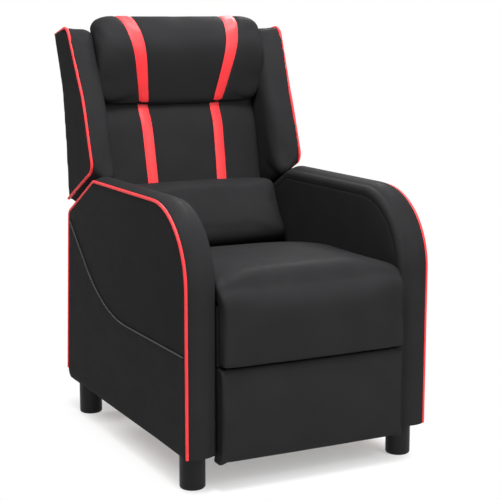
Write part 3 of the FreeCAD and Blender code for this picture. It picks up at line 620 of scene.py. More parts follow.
def rounded(corners: Sequence[Corner], closed: bool, steps: int) -> list[Vector]:
    """Round a drawn line's corners with arcs.

    Args:
        corners: (depth, height, radius) of each corner in millimetres.
        closed: whether the last corner joins the first.
        steps: segments of each arc.

    Returns:
        The line's points in metres.
    """
    spots = [Vector((depth, height, 0)) * MM for depth, height, _ in corners]
    ends = () if closed else (0, len(corners) - 1)
    line = []
    for index, (spot, (_, _, radius)) in enumerate(zip(spots, corners)):
        if radius == 0 or index in ends:
            line.append(spot)
            continue
        before = (spots[index - 1] - spot).normalized()
        after = (spots[(index + 1) % len(spots)] - spot).normalized()
        half = before.angle(after) / 2
        centre = spot + (before + after).normalized() * (radius * MM / math.sin(half))
        arms = [spot + way * (radius * MM / math.tan(half)) - centre for way in (before, after)]
        line += [centre + arms[0].slerp(arms[1], step / steps).normalized() * (radius * MM)
                 for step in range(steps + 1)]
    return line


def drawn_in(corners: Sequence[Corner], distance: float, least: float) -> list[Corner]:
    """Move the sides of an open outline inwards, to the left of its way, keeping its feet level.

    Args:
        corners: (depth, height, radius) of each corner in millimetres.
        distance: how far the sides move.
        least: smallest radius that a rounded corner keeps.

    Returns:
        The moved corners.
    """
    spots = [Vector((depth, height)) for depth, height, _ in corners]
    ways = [(after - before).normalized() for before, after in zip(spots, spots[1:])]
    sides = [Vector((-way.y, way.x)) for way in ways]
    moved = []
    for index, (spot, (_, _, radius)) in enumerate(zip(spots, corners)):
        first, second = max(index - 1, 0), min(index, len(sides) - 1)
        share = distance / (1 + sides[first].dot(sides[second]))
        place = spot + (sides[first] + sides[second]) * share
        if first == second and abs(ways[first].y) > abs(ways[first].x):
            place -= ways[first] * ((place.y - spot.y) / ways[first].y)
        moved.append((place.x, place.y, max(radius - distance, least) if radius else 0.0))
    return moved


def rounded_path(name: str, corners: Sequence[Corner], closed: bool, steps: int = 10) -> Piece:
    """Draw a line of edges on the (depth, height) sheet with its corners rounded.

    Args:
        name: the line's name.
        corners: (depth, height, radius) of each corner in millimetres.
        closed: whether the last corner joins the first.
        steps: segments of each rounded corner.

    Returns:
        The line as a mesh of edges.
    """
    places = rounded(corners, closed, steps)
    deselect()
    bpy.ops.mesh.primitive_circle_add(vertices=len(places), radius=1.0, fill_type="NOTHING")
    line = bpy.context.active_object
    line.name = name
    for vertex, place in zip(line.data.vertices, places):
        vertex.co = place
    if not closed:
        choose(line, "VERT", lambda vertex: vertex.index in (0, len(places) - 1))
        with editing(line, everything=False):
            bpy.ops.mesh.delete(type="EDGE_FACE")
    return line


def stand(drawing: Piece, offset_x: float) -> None:
    """Stand a drawing in the chair's side plane, at a place across the chair in millimetres."""
    drawing.data.transform(Matrix.Translation(Vector((offset_x * MM, 0, 0))) @ TO_SIDE)


def swept(line: Piece, profile: Piece | None = None, radius: float = 0.0, offset_x: float = 0.0,
          angle: float = 60.0) -> Piece:
    """Sweep a round or drawn profile along a line and stand the result in the chair's side plane.

    Args:
        line: the line of edges, which becomes the piece.
        profile: outline to sweep, as a line of edges, or none for a round tube.
        radius: the tube's radius in millimetres.
        offset_x: where the line lies across the chair, in millimetres.
        angle: edges sharper than this, in degrees, aren't shaded smooth.

    Returns:
        The swept mesh.
    """
    if profile is not None:
        select_only(profile)
        bpy.ops.object.convert(target="CURVE")
        profile.data.dimensions = "2D"
    select_only(line)
    bpy.ops.object.convert(target="CURVE")
    curve = line.data
    curve.dimensions = "2D"
    curve.fill_mode = "NONE"
    curve.use_fill_caps = True
    if profile is None:
        curve.bevel_depth = radius * MM
        curve.bevel_resolution = PIPE_STEPS
    else:
        curve.bevel_mode = "OBJECT"
        curve.bevel_object = profile
    select_only(line)
    bpy.ops.object.convert(target="MESH")
    piece = bpy.context.active_object
    if profile is not None:
        bpy.data.objects.remove(profile)
    stand(piece, offset_x)
    with editing(piece):
        bpy.ops.mesh.remove_doubles(threshold=MERGE_MM * MM)
        bpy.ops.mesh.normals_make_consistent(inside=False)
    smooth_shade(piece, angle)
    return piece


@dataclass
class Padding:
    """How a cushion's cover is remeshed, drawn in and blown up; lengths in millimetres."""

    voxel: float = 6.0
    shrink: float = 5.0
    cap: float = 14.0
    pressure: float = 4.0
    stiffness: float = 12.0
    smooth: int = 2
    frames: int = 20
    quality: int = 3
    held_from: float = 0.9


def plump(piece: Piece, padding: Padding, held: Held | None = None) -> None:
    """Remesh a cushion and blow it up as cloth under pressure, held where it is sewn or rests.

    Args:
        piece: the cushion, as a closed mesh.
        padding: its remesh, cap and pressure.
        held: share from 0 to 1 that each point is held, from points and outward directions, or
            none for a cover that isn't blown up.
    """
    apply_modifier(piece, "REMESH", mode="VOXEL", voxel_size=padding.voxel * MM)
    if held is not None:
        weights = held(points(piece), directions(piece))
        start = points(piece) - directions(piece) * (padding.shrink * MM * (1 - weights))[:, None]
        put_points(piece, start)
        group = piece.vertex_groups.new(name="held")
        group.add([int(index) for index in np.flatnonzero(weights > padding.held_from)], 1.0, "REPLACE")
        select_only(piece)
        cloth = piece.modifiers.new("Cloth", "CLOTH")
        cloth.settings.quality = padding.quality
        cloth.settings.use_pressure = True
        cloth.settings.uniform_pressure_force = padding.pressure
        cloth.settings.tension_stiffness = padding.stiffness
        cloth.settings.compression_stiffness = padding.stiffness
        cloth.settings.effector_weights.gravity = 0.0
        cloth.settings.vertex_group_mass = group.name
        cloth.collision_settings.use_collision = False
        cloth.point_cache.frame_end = padding.frames
        for step in range(1, padding.frames + 1):
            bpy.context.scene.frame_set(step)
        bpy.ops.object.modifier_apply(modifier=cloth.name)
        bpy.context.scene.frame_set(1)
        moved = points(piece) - start
        length = np.linalg.norm(moved, axis=1)
        cap = padding.cap * MM
        share = np.where(length > TINY, cap * np.tanh(length / cap) / np.maximum(length, TINY), 0.0)
        put_points(piece, start + moved * share[:, None])
        LOG.info("%s moved up to %.1f mm before its cap", piece.name, length.max() / MM)
    with editing(piece):
        bpy.ops.mesh.vertices_smooth(factor=SMOOTHING, repeat=padding.smooth)
    apply_modifier(piece, "SUBSURF", levels=1, render_levels=1)


def sew(piece: Piece, distance: Rows, width: float, depth: float) -> None:
    """Sink a sewn line into a cushion.

    Args:
        piece: the cushion.
        distance: each point's distance from the line, in metres.
        width: half-width of the furrow in millimetres.
        depth: its depth in millimetres.
    """
    sink = depth * MM * np.exp(-(distance / (width * MM)) ** 2)
    put_points(piece, points(piece) - directions(piece) * sink[:, None])


def distance_from(piece: Piece, other: Piece) -> Rows:
    """Measure how far a piece's points lie from another piece.

    Args:
        piece: the piece whose points are measured.
        other: the piece that they are measured from.

    Returns:
        Each point's distance from the other's nearest point, in metres.
    """
    tree = KDTree(len(other.data.vertices))
    for vertex in other.data.vertices:
        tree.insert(vertex.co, vertex.index)
    tree.balance()
    return np.array([tree.find(vertex.co)[2] for vertex in piece.data.vertices])


def ramp(values: Rows, low: float, high: float) -> Rows:
    """Smooth step from 0 at low to 1 at high."""
    share = np.clip((values - low) / (high - low), 0, 1)
    return share * share * (3 - 2 * share)


def spread_sides(piece: Piece, spread: float) -> None:
    """Push a cushion's widest sides out towards the arms.

    Args:
        piece: the cushion.
        spread: how far its sides move, in millimetres.
    """
    places = points(piece)
    across = np.abs(places[:, 0])
    edge = ramp(across, SIDE_FROM * across.max(), across.max())
    places[:, 0] += np.sign(places[:, 0]) * spread * MM * edge
    put_points(piece, places)


def envelope(along: Rows, values: Rows, rows: Rows, pick: Callable) -> Rows:
    """Follow the least or greatest value along a cushion.

    Args:
        along: each point's place along the cushion, which is cut into slices.
        values: each point's value.
        rows: which points count.
        pick: what a slice gives, such as its least value.

    Returns:
        The slices' values, drawn out to every point.
    """
    stops = np.linspace(along.min(), along.max(), EDGE_SLICES + 1)
    belts = [rows & (along >= low) & (along <= high) for low, high in zip(stops, stops[1:])]
    table = [(along[belt].mean(), pick(values[belt])) for belt in belts if belt.any()]
    return np.interp(along, *zip(*table))


def square_corners(piece: Piece, radius: float, axis: int) -> None:
    """Draw a cushion's rounded side corners out to crisper ones.

    Args:
        piece: the cushion, whose sides face across the chair.
        radius: reach of the rounded corners in millimetres.
        axis: 1 for the corners with its front, 2 for those with its foot.
    """
    places = points(piece)
    reach = radius * MM
    across = np.abs(places[:, 0])
    along = places[:, 3 - axis]
    middle = across < CORNER_MIDDLE * across.max()
    side = across - (across.max() - reach)
    ahead = envelope(along, places[:, axis], middle, np.min) + reach - places[:, axis]
    angle = np.arctan2(np.maximum(side, 0), np.maximum(ahead, TINY))
    grow = (np.cos(angle) ** CORNER_POWER + np.sin(angle) ** CORNER_POWER) ** (-1 / CORNER_POWER) - 1
    grow *= (side > 0) & (ahead > 0)
    places[:, 0] += np.sign(places[:, 0]) * side * grow
    places[:, axis] -= ahead * grow
    put_points(piece, places)


def rolled_block(name: str, low: Vector, high: Vector, edge: float) -> Piece:
    """Make a block between two corners with its edges rolled.

    Args:
        name: the block's name.
        low: its lowest corner in metres.
        high: its highest corner in metres.
        edge: radius of its edges in millimetres.

    Returns:
        The block.
    """
    deselect()
    bpy.ops.mesh.primitive_cube_add(size=1.0, location=(low + high) / 2, scale=high - low)
    block = bpy.context.active_object
    block.name = name
    bpy.ops.object.transform_apply(location=True, rotation=True, scale=True)
    with editing(block):
        bpy.ops.mesh.bevel(offset=edge * MM, segments=EDGE_STEPS, affect="EDGES")
    smooth_shade(block)
    return block


def flap(name: str, corners: Sequence[Corner], low_x: float, high_x: float,
         thickness: float) -> Piece:
    """Make a leather flap that runs straight across the chair; lengths in millimetres.

    Args:
        name: the flap's name.
        corners: three or more of its upper side, from rear to front, as (depth, height, radius).
        low_x: where it starts across the chair.
        high_x: where it ends.
        thickness: its thickness downwards.

    Returns:
        The flap.
    """
    ends = [(0.0, low_x, 0.0), (0.0, high_x, 0.0), (thickness, high_x, 0.0), (thickness, low_x, 0.0)]
    line = rounded_path(name, corners, closed=False)
    return swept(line, rounded_path("flap_profile", ends, closed=True))


@dataclass
class Boxing:
    """Leather strips that close a cushion's sides towards the arms; lengths in millimetres."""

    inner_x: float = 222.0
    outer_x: float = 233.2
    front: float = 8.0
    rear: float = 64.0
    foot: float = 283.0
    top: float = 420.0
    edge: float = 2.5

    def build(self, word: str, body: Body) -> None:
        """Make the left strip and mirror it.

        Args:
            word: the cushion that the strips belong to.
            body: the body that they ride on.
        """
        low = Vector((self.inner_x * MM, DEPTH_ORIGIN + self.front * MM, self.foot * MM))
        high = Vector((self.outer_x * MM, DEPTH_ORIGIN + self.rear * MM, self.top * MM))
        dress_pair(rolled_block(f"left_{word}_boxing", low, high, self.edge), body, Slot.BLACK)


@dataclass
class Leaning:
    """The backrest's own axes: back and up in millimetres from a point on the pad's face."""

    lean: float = 11.6
    depth: float = 684.0
    height: float = 605.0

    @property
    def backward(self) -> Vector:
        """Direction through the backrest."""
        angle = math.radians(self.lean)
        return Vector((0, math.cos(angle), -math.sin(angle)))

    @property
    def upward(self) -> Vector:
        """Direction up the backrest."""
        angle = math.radians(self.lean)
        return Vector((0, math.sin(angle), math.cos(angle)))

    @property
    def origin(self) -> Vector:
        """The point on the pad's face."""
        return Vector((0, DEPTH_ORIGIN + self.depth * MM, self.height * MM))

    def spot(self, x: float, back: float, up: float) -> Vector:
        """Place in the chair's frame of (x, back, up)."""
        return self.origin + (Vector((1, 0, 0)) * x + self.backward * back + self.upward * up) * MM

    def sheet(self, back: float, up: float, radius: float = 0.0) -> Corner:
        """Corner on the (depth, height) sheet of a place (back, up)."""
        place = self.spot(0, back, up)
        return ((place.y - DEPTH_ORIGIN) / MM, place.z / MM, radius)

    def local(self, places: Rows) -> tuple[Rows, Rows]:
        """Back and up, in millimetres, of each point."""
        rows = (places - np.array(self.origin)) / MM
        return rows @ np.array(self.backward), rows @ np.array(self.upward)

    def moved(self, places: Rows, back: Rows | float = 0.0, up: Rows | float = 0.0) -> Rows:
        """Points moved back and up by lengths in millimetres."""
        return places + MM * (np.multiply.outer(back, np.array(self.backward))
                              + np.multiply.outer(up, np.array(self.upward)))


def strip_of(name: str, source: Piece, planes: Sequence[Plane], away: Vector,
             thickness: float) -> Piece:
    """Cut a sewn-in strip out of a cushion's finished surface.

    Args:
        name: the strip's name.
        source: the cushion.
        planes: (point, direction) of each cut; what lies on the direction's side goes.
        away: direction that the strip's back faces, whose faces go.
        thickness: the strip's thickness in millimetres.

    Returns:
        The strip as a thin closed mesh.
    """
    strip = add_object(name, source.data.copy())
    strip.vertex_groups.clear()
    for place, direction in planes:
        with editing(strip):
            bpy.ops.mesh.bisect(plane_co=place, plane_no=direction, clear_outer=True)
    choose(strip, "FACE", lambda face: face.normal.dot(away) > STRIP_BACK)
    with editing(strip, everything=False):
        bpy.ops.mesh.delete(type="FACE")
    apply_modifier(strip, "SOLIDIFY", thickness=thickness * MM, offset=STRIP_PROUD)
    smooth_shade(strip)
    return strip


@dataclass
class Arms:
    """Upholstered arms: padded band, inner and outer panels, piping and the right arm's pocket.

    Lengths are in millimetres. A panel's set is how far its face stands off the solid, and how far its
    rim lies behind its face.
    """

    depth: float = 785.0
    height: float = 640.0
    rear_height: float = 540.0
    rake: float = 37.0
    slope_run: float = 188.0
    nose_radius: float = 180.0
    corner_radius: float = 25.0
    least_radius: float = 12.0
    base: float = 84.0
    inner_x: float = field(default_factory=lambda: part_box("left_arm_band")[0].x / MM)
    outer_x: float = field(default_factory=lambda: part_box("left_arm_outer_panel")[1].x / MM)
    crown: float = 9.0
    crown_power: float = 0.8
    roll: float = 13.0
    wrap: float = 24.0
    band: float = 13.0
    band_inset: float = 2.0
    band_lip: float = 1.5
    turn_in: Sequence[Pair] = ((-3.0, 0.0), (0.0, 1.0), (0.6, 4.0))
    cover_angle: float = 40.0
    rim: Sequence[Pair] = ((1.0, 0.45), (2.5, 0.35), (4.5, 0.2))
    side_inset: float = 1.0
    side_set: Pair = (0.5, 2.5)
    lining_tuck: float = 1.5
    lining_set: Pair = (0.5, 1.4)
    piping_radius: float = 3.7
    piping_sunk: float = 1.6
    pocket_inset: float = 11.0
    pocket_front: float = 314.0
    pocket_bend: float = 500.0
    pocket_fall: float = 0.86
    pocket_radius: float = 420.0
    pocket_set: Pair = (2.0, 1.6)
    hem_radius: float = 1.9
    hem_proud: float = 0.4

    @property
    def corners(self) -> list[Corner]:
        """Corners of the arm's side, from its rear foot over the top to its front foot."""
        rear = self.depth - self.rake
        return [(self.depth - 2 * self.corner_radius, self.base, 0.0),
                (self.depth, self.base, self.corner_radius),
                (rear, self.rear_height, self.corner_radius),
                (rear - self.slope_run, self.height, self.corner_radius),
                (0.0, self.height, self.nose_radius), (0.0, self.base, 0.0)]

    def band_profile(self) -> Piece:
        """Draw the padded band: crowned, rolled over the inner edge and turned in to its seam.

        Returns:
            The band's outline.
        """
        outer = self.outer_x - self.band_inset
        top = outer - self.inner_x - self.roll
        corners = [(self.band, outer, 0.0), (self.band_lip, outer, 0.0)]
        for index in range(1, CROWN_STEPS):
            share = index / CROWN_STEPS
            rise = self.crown * math.sin(math.pi * share) ** self.crown_power
            corners.append((-rise, outer - top * share, 0.0))
        for index in range(CROWN_STEPS):
            angle = math.pi / 2 * index / (CROWN_STEPS - 1)
            corners.append((self.roll * (1 - math.cos(angle)),
                            self.inner_x + self.roll * (1 - math.sin(angle)), 0.0))
        corners += [(self.wrap + past, self.inner_x + inward, 0.0) for past, inward in self.turn_in]
        corners.append((self.band, self.inner_x + self.roll, 0.0))
        return rounded_path("band_profile", corners, closed=True)

    def panel(self, name: str, corners: Sequence[Corner], face_x: float, sunk: float) -> Piece:
        """Padded side panel with a rolled rim.

        Args:
            name: the panel's name.
            corners: its outline.
            face_x: where its face lies across the chair.
            sunk: how far its rim lies behind its face; negative where the panel faces the right.

        Returns:
            The panel.
        """
        panel = rounded_path(name, corners, closed=True, steps=14)
        with editing(panel):
            bpy.ops.mesh.edge_face_add()
        stand(panel, face_x - sunk)
        if panel.data.polygons[0].normal.x * sunk < 0:
            with editing(panel):
                bpy.ops.mesh.flip_normals()
        with editing(panel):
            for width, rise in self.rim:
                bpy.ops.mesh.inset(thickness=width * MM, depth=rise * abs(sunk) * MM)
        smooth_shade(panel)
        apply_modifier(panel, "WEIGHTED_NORMAL", weight=100)
        return panel

    def piping(self, name: str) -> Piece:
        """Pipe the outer edge in red, down to the arm's foot at the front.

        Args:
            name: the piping's name.

        Returns:
            The piping.
        """
        lean = self.rake / (self.rear_height - self.base)
        start = (self.depth - self.corner_radius * lean - self.piping_sunk,
                 self.base + self.corner_radius, 0.0)
        corners = [start, *drawn_in(self.corners, self.piping_sunk, 0.0)[2:]]
        line = rounded_path(name, corners, closed=False, steps=20)
        return swept(line, radius=self.piping_radius, offset_x=self.outer_x - self.piping_sunk)

    def build_pocket(self) -> None:
        """Sew the flat pocket and its hem on the right arm's outer panel; the hem's pale webbing finish is
        a painted highlight along the pocket's edge.
        """
        heel, foot, top = drawn_in(self.corners, self.pocket_inset, self.least_radius)[:3]
        front = (self.pocket_inset, self.base, 0.0)
        lean = (foot[0] - top[0]) / (top[1] - foot[1])
        rise = foot[1] - self.pocket_front + self.pocket_bend * self.pocket_fall
        rear_depth = (foot[0] + lean * rise) / (1 + lean * self.pocket_fall)
        rear_height = self.pocket_front + (rear_depth - self.pocket_bend) * self.pocket_fall
        mouth = [(rear_depth, rear_height, 0.0), (self.pocket_bend, self.pocket_front, self.pocket_radius),
                 (self.pocket_inset, self.pocket_front, 0.0)]
        face_x = -self.outer_x - self.pocket_set[0]
        pocket = self.panel("pocket_panel", [heel, foot, *mouth, front], face_x, -self.pocket_set[1])
        line = rounded_path("pocket_hem", mouth, closed=False, steps=24)
        hem = swept(line, radius=self.hem_radius, offset_x=face_x - self.hem_proud)
        dress(pocket, Body.BASE, Slot.BLACK, ["side_pocket"])
        # The hem wears the pale webbing finish, a painted highlight along the pocket's edge, not leather.
        dress(hem, Body.BASE, Slot.WEBBING)

    def build(self) -> None:
        """Make the left arm, mirror it to the right, dress both and add the pocket."""
        line = rounded_path("left_arm_cover", self.corners, closed=False, steps=24)
        cover = swept(line, self.band_profile(), angle=self.cover_angle)
        outline = drawn_in(self.corners, self.side_inset, 0.0)
        side = self.panel("left_arm_side", outline, self.outer_x + self.side_set[0], self.side_set[1])
        outline = drawn_in(self.corners, self.wrap - self.lining_tuck, self.least_radius)
        inner_x = self.inner_x - self.lining_set[0]
        lining = self.panel("left_arm_lining", outline, inner_x, -self.lining_set[1])
        piping = self.piping("left_arm_welt")
        dress_pair(cover, Body.BASE, Slot.BLACK, ["left_arm_band"])
        dress_pair(side, Body.BASE, Slot.BLACK, ["left_arm_outer_panel"])
        dress_pair(lining, Body.BASE, Slot.BLACK, ["left_arm_inner_panel"])
        dress_pair(piping, Body.BASE, Slot.RED, ["left_arm_piping"])
        self.build_pocket()


@dataclass
class Seat:
    """Seat cushion with its waterfall front, and the flaps that close the gap behind it."""

    padding: Padding = field(default_factory=lambda: Padding(voxel=9.0, shrink=3.0, cap=9.0, smooth=4))
    spread: float = 3.5
    corner: float = 26.0
    nose: float = 92.0
    nose_ease: float = 34.0
    nose_end: float = 0.5
    nose_power: float = 5.3
    nose_belt: float = 150.0
    nose_foot: float = 350.0
    nose_rounds: int = 20
    boxing: Boxing = field(default_factory=Boxing)
    flap: Sequence[Corner] = ((655.0, 380.0, 0.0), (640.0, 400.0, 20.0),
                              (585.0, 425.0, 60.0), (530.0, 438.0, 0.0))
    gusset: Sequence[Corner] = ((578.0, 427.0, 0.0), (560.0, 431.0, 0.0), (530.0, 438.0, 0.0))
    flap_half: float = 199.0
    flap_side: Pair = (208.8, 235.0)
    flap_thickness: float = 5.0

    def held(self, places: Rows, outward: Rows) -> Rows:
        """Hold the cushion's underside, its narrowed flanks and its rear."""
        flank = ramp(np.abs(outward[:, 0]), *FLANK)
        return np.maximum.reduce([ramp(-outward[:, 2], *FACING), flank, ramp(outward[:, 1], *FACING)])

    def roll_nose(self, seat: Piece) -> None:
        """Draw the seat's front edge in to a wide waterfall.

        Args:
            seat: the blown-up seat.
        """
        places = points(seat)
        front = np.flatnonzero(places[:, 1] < DEPTH_ORIGIN + self.nose_belt * MM)
        across, depths, heights = places[front].T
        every = np.ones(len(front), bool)
        ends = ramp(np.abs(across) / across.max(), self.nose_end, 1.0)
        reach = MM * (self.nose - self.nose_ease * ends)
        ahead = np.maximum(envelope(across, depths, every, np.min) + reach - depths, 0)
        above = np.maximum(heights - envelope(across, heights, every, np.max) + reach, 0)
        square = (ahead ** self.nose_power + above ** self.nose_power) ** (1 / self.nose_power)
        round_off = 1 - square / np.maximum(np.hypot(ahead, above), TINY)
        drawn = np.where((ahead > 0) & (above > 0), round_off, 0)
        places[front, 1] += ahead * drawn
        places[front, 2] -= above * drawn
        put_points(seat, places)

    def build(self) -> None:
        """Blow the seat up, roll its nose, spread it towards the arms and add its flaps."""
        seat = copy_of("seat_pad", ["seat_cushion"])
        plump(seat, self.padding, self.held)
        self.roll_nose(seat)
        belt = DEPTH_ORIGIN + self.nose_belt * MM
        choose(seat, "VERT", lambda vertex: vertex.co.y < belt and vertex.co.z > self.nose_foot * MM)
        with editing(seat, everything=False):
            bpy.ops.mesh.vertices_smooth(factor=SMOOTHING, repeat=self.nose_rounds, xaxis=False)
        spread_sides(seat, self.spread)
        square_corners(seat, self.corner, 1)
        smooth_shade(seat)
        dress(seat, Body.BASE, Slot.BLACK, ["seat_cushion"])
        self.boxing.build("seat", Body.BASE)
        middle = flap("seat_flap", self.flap, -self.flap_half, self.flap_half, self.flap_thickness)
        side = flap("left_seat_flap", self.flap, *self.flap_side, self.flap_thickness)
        gusset = flap("left_seat_gusset", self.gusset, self.flap_half, self.flap_side[0],
                      self.flap_thickness)
        dress(middle, Body.BASE, Slot.BLACK)
        for piece in (side, gusset):
            dress_pair(piece, Body.BASE, Slot.BLACK)


@dataclass
class Footrest:
    """Padded footrest panel on its board."""

    padding: Padding = field(default_factory=lambda: Padding(voxel=4.0, smooth=1))
    spread: float = 3.0
    crown: float = 4.0
    crown_power: int = 4
    crown_facing: Pair = (0.2, 0.9)
    corner: float = 20.0
    foot_drop: float = 8.0
    foot_height: float = 160.0
    boxing: Boxing = field(default_factory=lambda: Boxing(front=6.0, rear=34.0, foot=78.0, top=281.5))

    def build(self) -> None:
        """Cover the footrest pad tightly, with crisp edges and a low crown."""
        pad = copy_of("footrest_cover", ["footrest_pad"])
        plump(pad, self.padding)
        places = points(pad)
        low, high = places.min(0), places.max(0)
        across, along = [2 * (places[:, axis] - low[axis]) / (high - low)[axis] - 1 for axis in (0, 2)]
        front = ramp(-directions(pad)[:, 1], *self.crown_facing)
        swell = (1 - across ** self.crown_power) * (1 - along ** self.crown_power)
        places[:, 1] -= self.crown * MM * front * swell
        places[:, 2] -= self.foot_drop * MM * (1 - ramp(places[:, 2], low[2], self.foot_height * MM))
        put_points(pad, places)
        spread_sides(pad, self.spread)
        for axis in (1, 2):
            square_corners(pad, self.corner, axis)
        smooth_shade(pad)
        dress(pad, Body.FOOTREST, Slot.BLACK, ["footrest_pad"])
        self.boxing.build("footrest", Body.FOOTREST)


@dataclass
class Backrest:
    """Everything soft that leans with the back: pad, headrest, lumbar cushion, wings and rear cover.

    Lengths are in millimetres in the backrest's own axes. A pair of lengths is where an effect starts
    and where it is full, but a seam's is its half-width and depth, and wing_set's how far a wing is set
    back at its foot and at its top.
    """

    axes: Leaning = field(default_factory=Leaning)
    pad: Padding = field(default_factory=lambda: Padding(voxel=8.0, shrink=4.0, cap=13.0, smooth=3))
    pillow: Padding = field(default_factory=lambda: Padding(voxel=7.0, shrink=2.5, cap=7.0, smooth=3))
    lumbar: Padding = field(default_factory=lambda: Padding(voxel=7.0, shrink=1.5, cap=5.0, smooth=4))
    wing: Padding = field(default_factory=lambda: Padding(voxel=6.5, shrink=1.5, cap=4.0, smooth=3))
    rear: Padding = field(default_factory=lambda: Padding(voxel=9.0, shrink=1.0, cap=5.0, smooth=3))
    behind: Pair = (-0.15, 0.25)
    unsewn_from: float = 0.5
    under_headrest: Pair = (234.0, 252.0)
    under_lumbar: Pair = (18.0, 43.0)
    headrest_bottom: float = 222.0
    headrest_top: float = 445.0
    headrest_drop: float = 11.0
    headrest_tuck: Pair = (0.08, 0.52)
    chin_reach: float = 380.0
    shoulder_rise: float = 6.5
    shoulder_x: Pair = (46.0, 207.0)
    lumbar_top: float = 12.0
    lumbar_drop: float = 10.0
    stripe_width: float = 28.0
    stripe_offset: float = 99.0
    crease_stripe_offset: float = 106.0
    head_stripe_width: float = 39.0
    chin_stripe_width: float = 25.0
    head_stripe_offset: float = 150.0
    head_stripe_rear: float = -14.0
    stripe_thickness: float = 1.0
    stripe_tuck: float = 60.0
    stripe_room: float = 6.0
    stripe_seam: Pair = (4.5, 1.8)
    crease_width: float = 38.0
    crease_depth: float = 14.0
    wing_inner_x: float = field(default_factory=lambda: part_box("left_wing")[0].x / MM)
    wing_outer_x: float = field(default_factory=lambda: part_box("left_wing")[1].x / MM)
    wing_rim: Pair = (16.0, 4.0)
    wing_splay: float = 8.0
    wing_splay_reach: Pair = (243.6, 406.0)
    wing_sag: float = 34.0
    wing_sag_reach: Pair = (60.0, 150.0)
    wing_sag_x: Pair = (258.0, 303.0)
    wing_set: Pair = (7.0, -12.0)
    wing_turn: Pair = (150.0, 400.0)
    wing_rear: float = 10.0
    wing_rear_reach: Pair = (0.0, 90.0)
    wing_rise: float = 10.0
    wing_edge: Sequence[Corner] = ((88.0, -15.0, 0.0), (-108.0, 38.0, 28.0), (-88.0, 190.0, 400.0),
                                   (-16.0, 406.0, 34.0), (94.0, 406.0, 0.0))
    piping_radius: float = 3.4
    piping_proud: float = 2.2
    piping_tuck: float = 5.0
    piping_end: Pair = (86.0, 94.0)
    piping_seam: Pair = (5.0, 3.2)
    wing_rear_from: float = 40.0
    wing_rounds: int = 14
    top_flap: Sequence[Corner] = ((70.0, 396.0, 0.0), (62.0, 403.0, 8.0), (4.0, 403.0, 0.0))
    top_flap_half: float = 236.0
    top_flap_thickness: float = 9.0
    rear_spread: float = 6.0
    rear_facing: Pair = (0.3, 0.7)
    rear_rim: Pair = (220.0, 228.0)

    def from_behind(self, outward: Rows) -> Rows:
        """Share that a point faces backwards."""
        return ramp(outward @ np.array(self.axes.backward), *self.behind)

    def held_behind(self, places: Rows, outward: Rows) -> Rows:
        """Hold a cushion where it rests on the back."""
        return self.from_behind(outward)

    def stripe_edges(self, low: Corner, high: Corner) -> list[Plane]:
        """Find the cutting planes of a left stripe's long edges.

        Args:
            low: (offset, up, width) of the stripe's low end.
            high: the same of its high end.

        Returns:
            The inner and the outer plane.
        """
        planes = []
        for sign in (-1, 1):
            start, stop = [self.axes.spot(x + sign * width / 2, 0, up) for x, up, width in (low, high)]
            direction = (stop - start).cross(self.axes.backward).normalized()
            planes.append((start, -direction if direction.x * sign < 0 else direction))
        return planes

    def add_stripes(self, name: str, source: Piece, low: Corner, high: Corner,
                    ends: Sequence[Plane], node: str) -> None:
        """Sink the stripes' seams into a cushion and sew the stripes in.

        Args:
            name: the stripes' name.
            source: the cushion.
            low: (offset, up, width) of the left stripe's low end.
            high: the same of its high end.
            ends: cutting planes of the stripes' ends.
            node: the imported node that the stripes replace.
        """
        edges = self.stripe_edges(low, high)
        places = points(source)
        mirrored = places * np.array([-1, 1, 1])
        nearest = np.full(len(places), 1.0)
        for place, direction in edges:
            for rows in (places, mirrored):
                nearest = np.minimum(nearest, np.abs((rows - np.array(place)) @ np.array(direction)))
        nearest = np.where(self.from_behind(directions(source)) > self.unsewn_from, 1.0, nearest)
        sew(source, nearest, *self.stripe_seam)
        left = strip_of(f"left_{name}", source, [*edges, *ends], self.axes.backward, self.stripe_thickness)
        dress_pair(left, Body.BACKREST, Slot.RED, [node])

    def held_pad(self, places: Rows, outward: Rows) -> Rows:
        """Hold the pad's rear and flanks, and what headrest and lumbar cushion hide of it.

        Args:
            places: the cushion's points.
            outward: their outward directions.

        Returns:
            Share from 0 to 1 that each point is held.
        """
        _, up = self.axes.local(places)
        hidden = np.maximum(ramp(up, *self.under_headrest), ramp(-up, *self.under_lumbar))
        flank = ramp(np.abs(outward[:, 0]), *FLANK)
        return np.maximum.reduce([self.from_behind(outward), hidden, flank])

    def build_pad(self) -> None:
        """Blow the back pad up between headrest and lumbar cushion, and sew its stripes in."""
        pad = copy_of("back_pad", ["back_cushion"])
        plump(pad, self.pad, self.held_pad)
        _, up = self.axes.local(points(pad))
        crease = np.exp(-((up - self.headrest_bottom + self.headrest_drop) / self.crease_width) ** 2)
        crease *= self.crease_depth * (1 - self.from_behind(directions(pad)))
        put_points(pad, self.axes.moved(points(pad), back=crease))
        smooth_shade(pad)
        low = (self.stripe_offset, self.lumbar_top - self.stripe_tuck, self.stripe_width)
        high = (self.crease_stripe_offset, self.headrest_bottom + self.stripe_tuck, self.stripe_width)
        ends = [(self.axes.spot(0, 0, low[1]), -self.axes.upward),
                (self.axes.spot(0, 0, high[1]), self.axes.upward),
                (self.axes.spot(0, self.crease_depth + self.stripe_room, 0), self.axes.backward)]
        self.add_stripes("back_stripe", pad, low, high, ends, "back_stripes")
        dress(pad, Body.BACKREST, Slot.BLACK, ["back_cushion"])

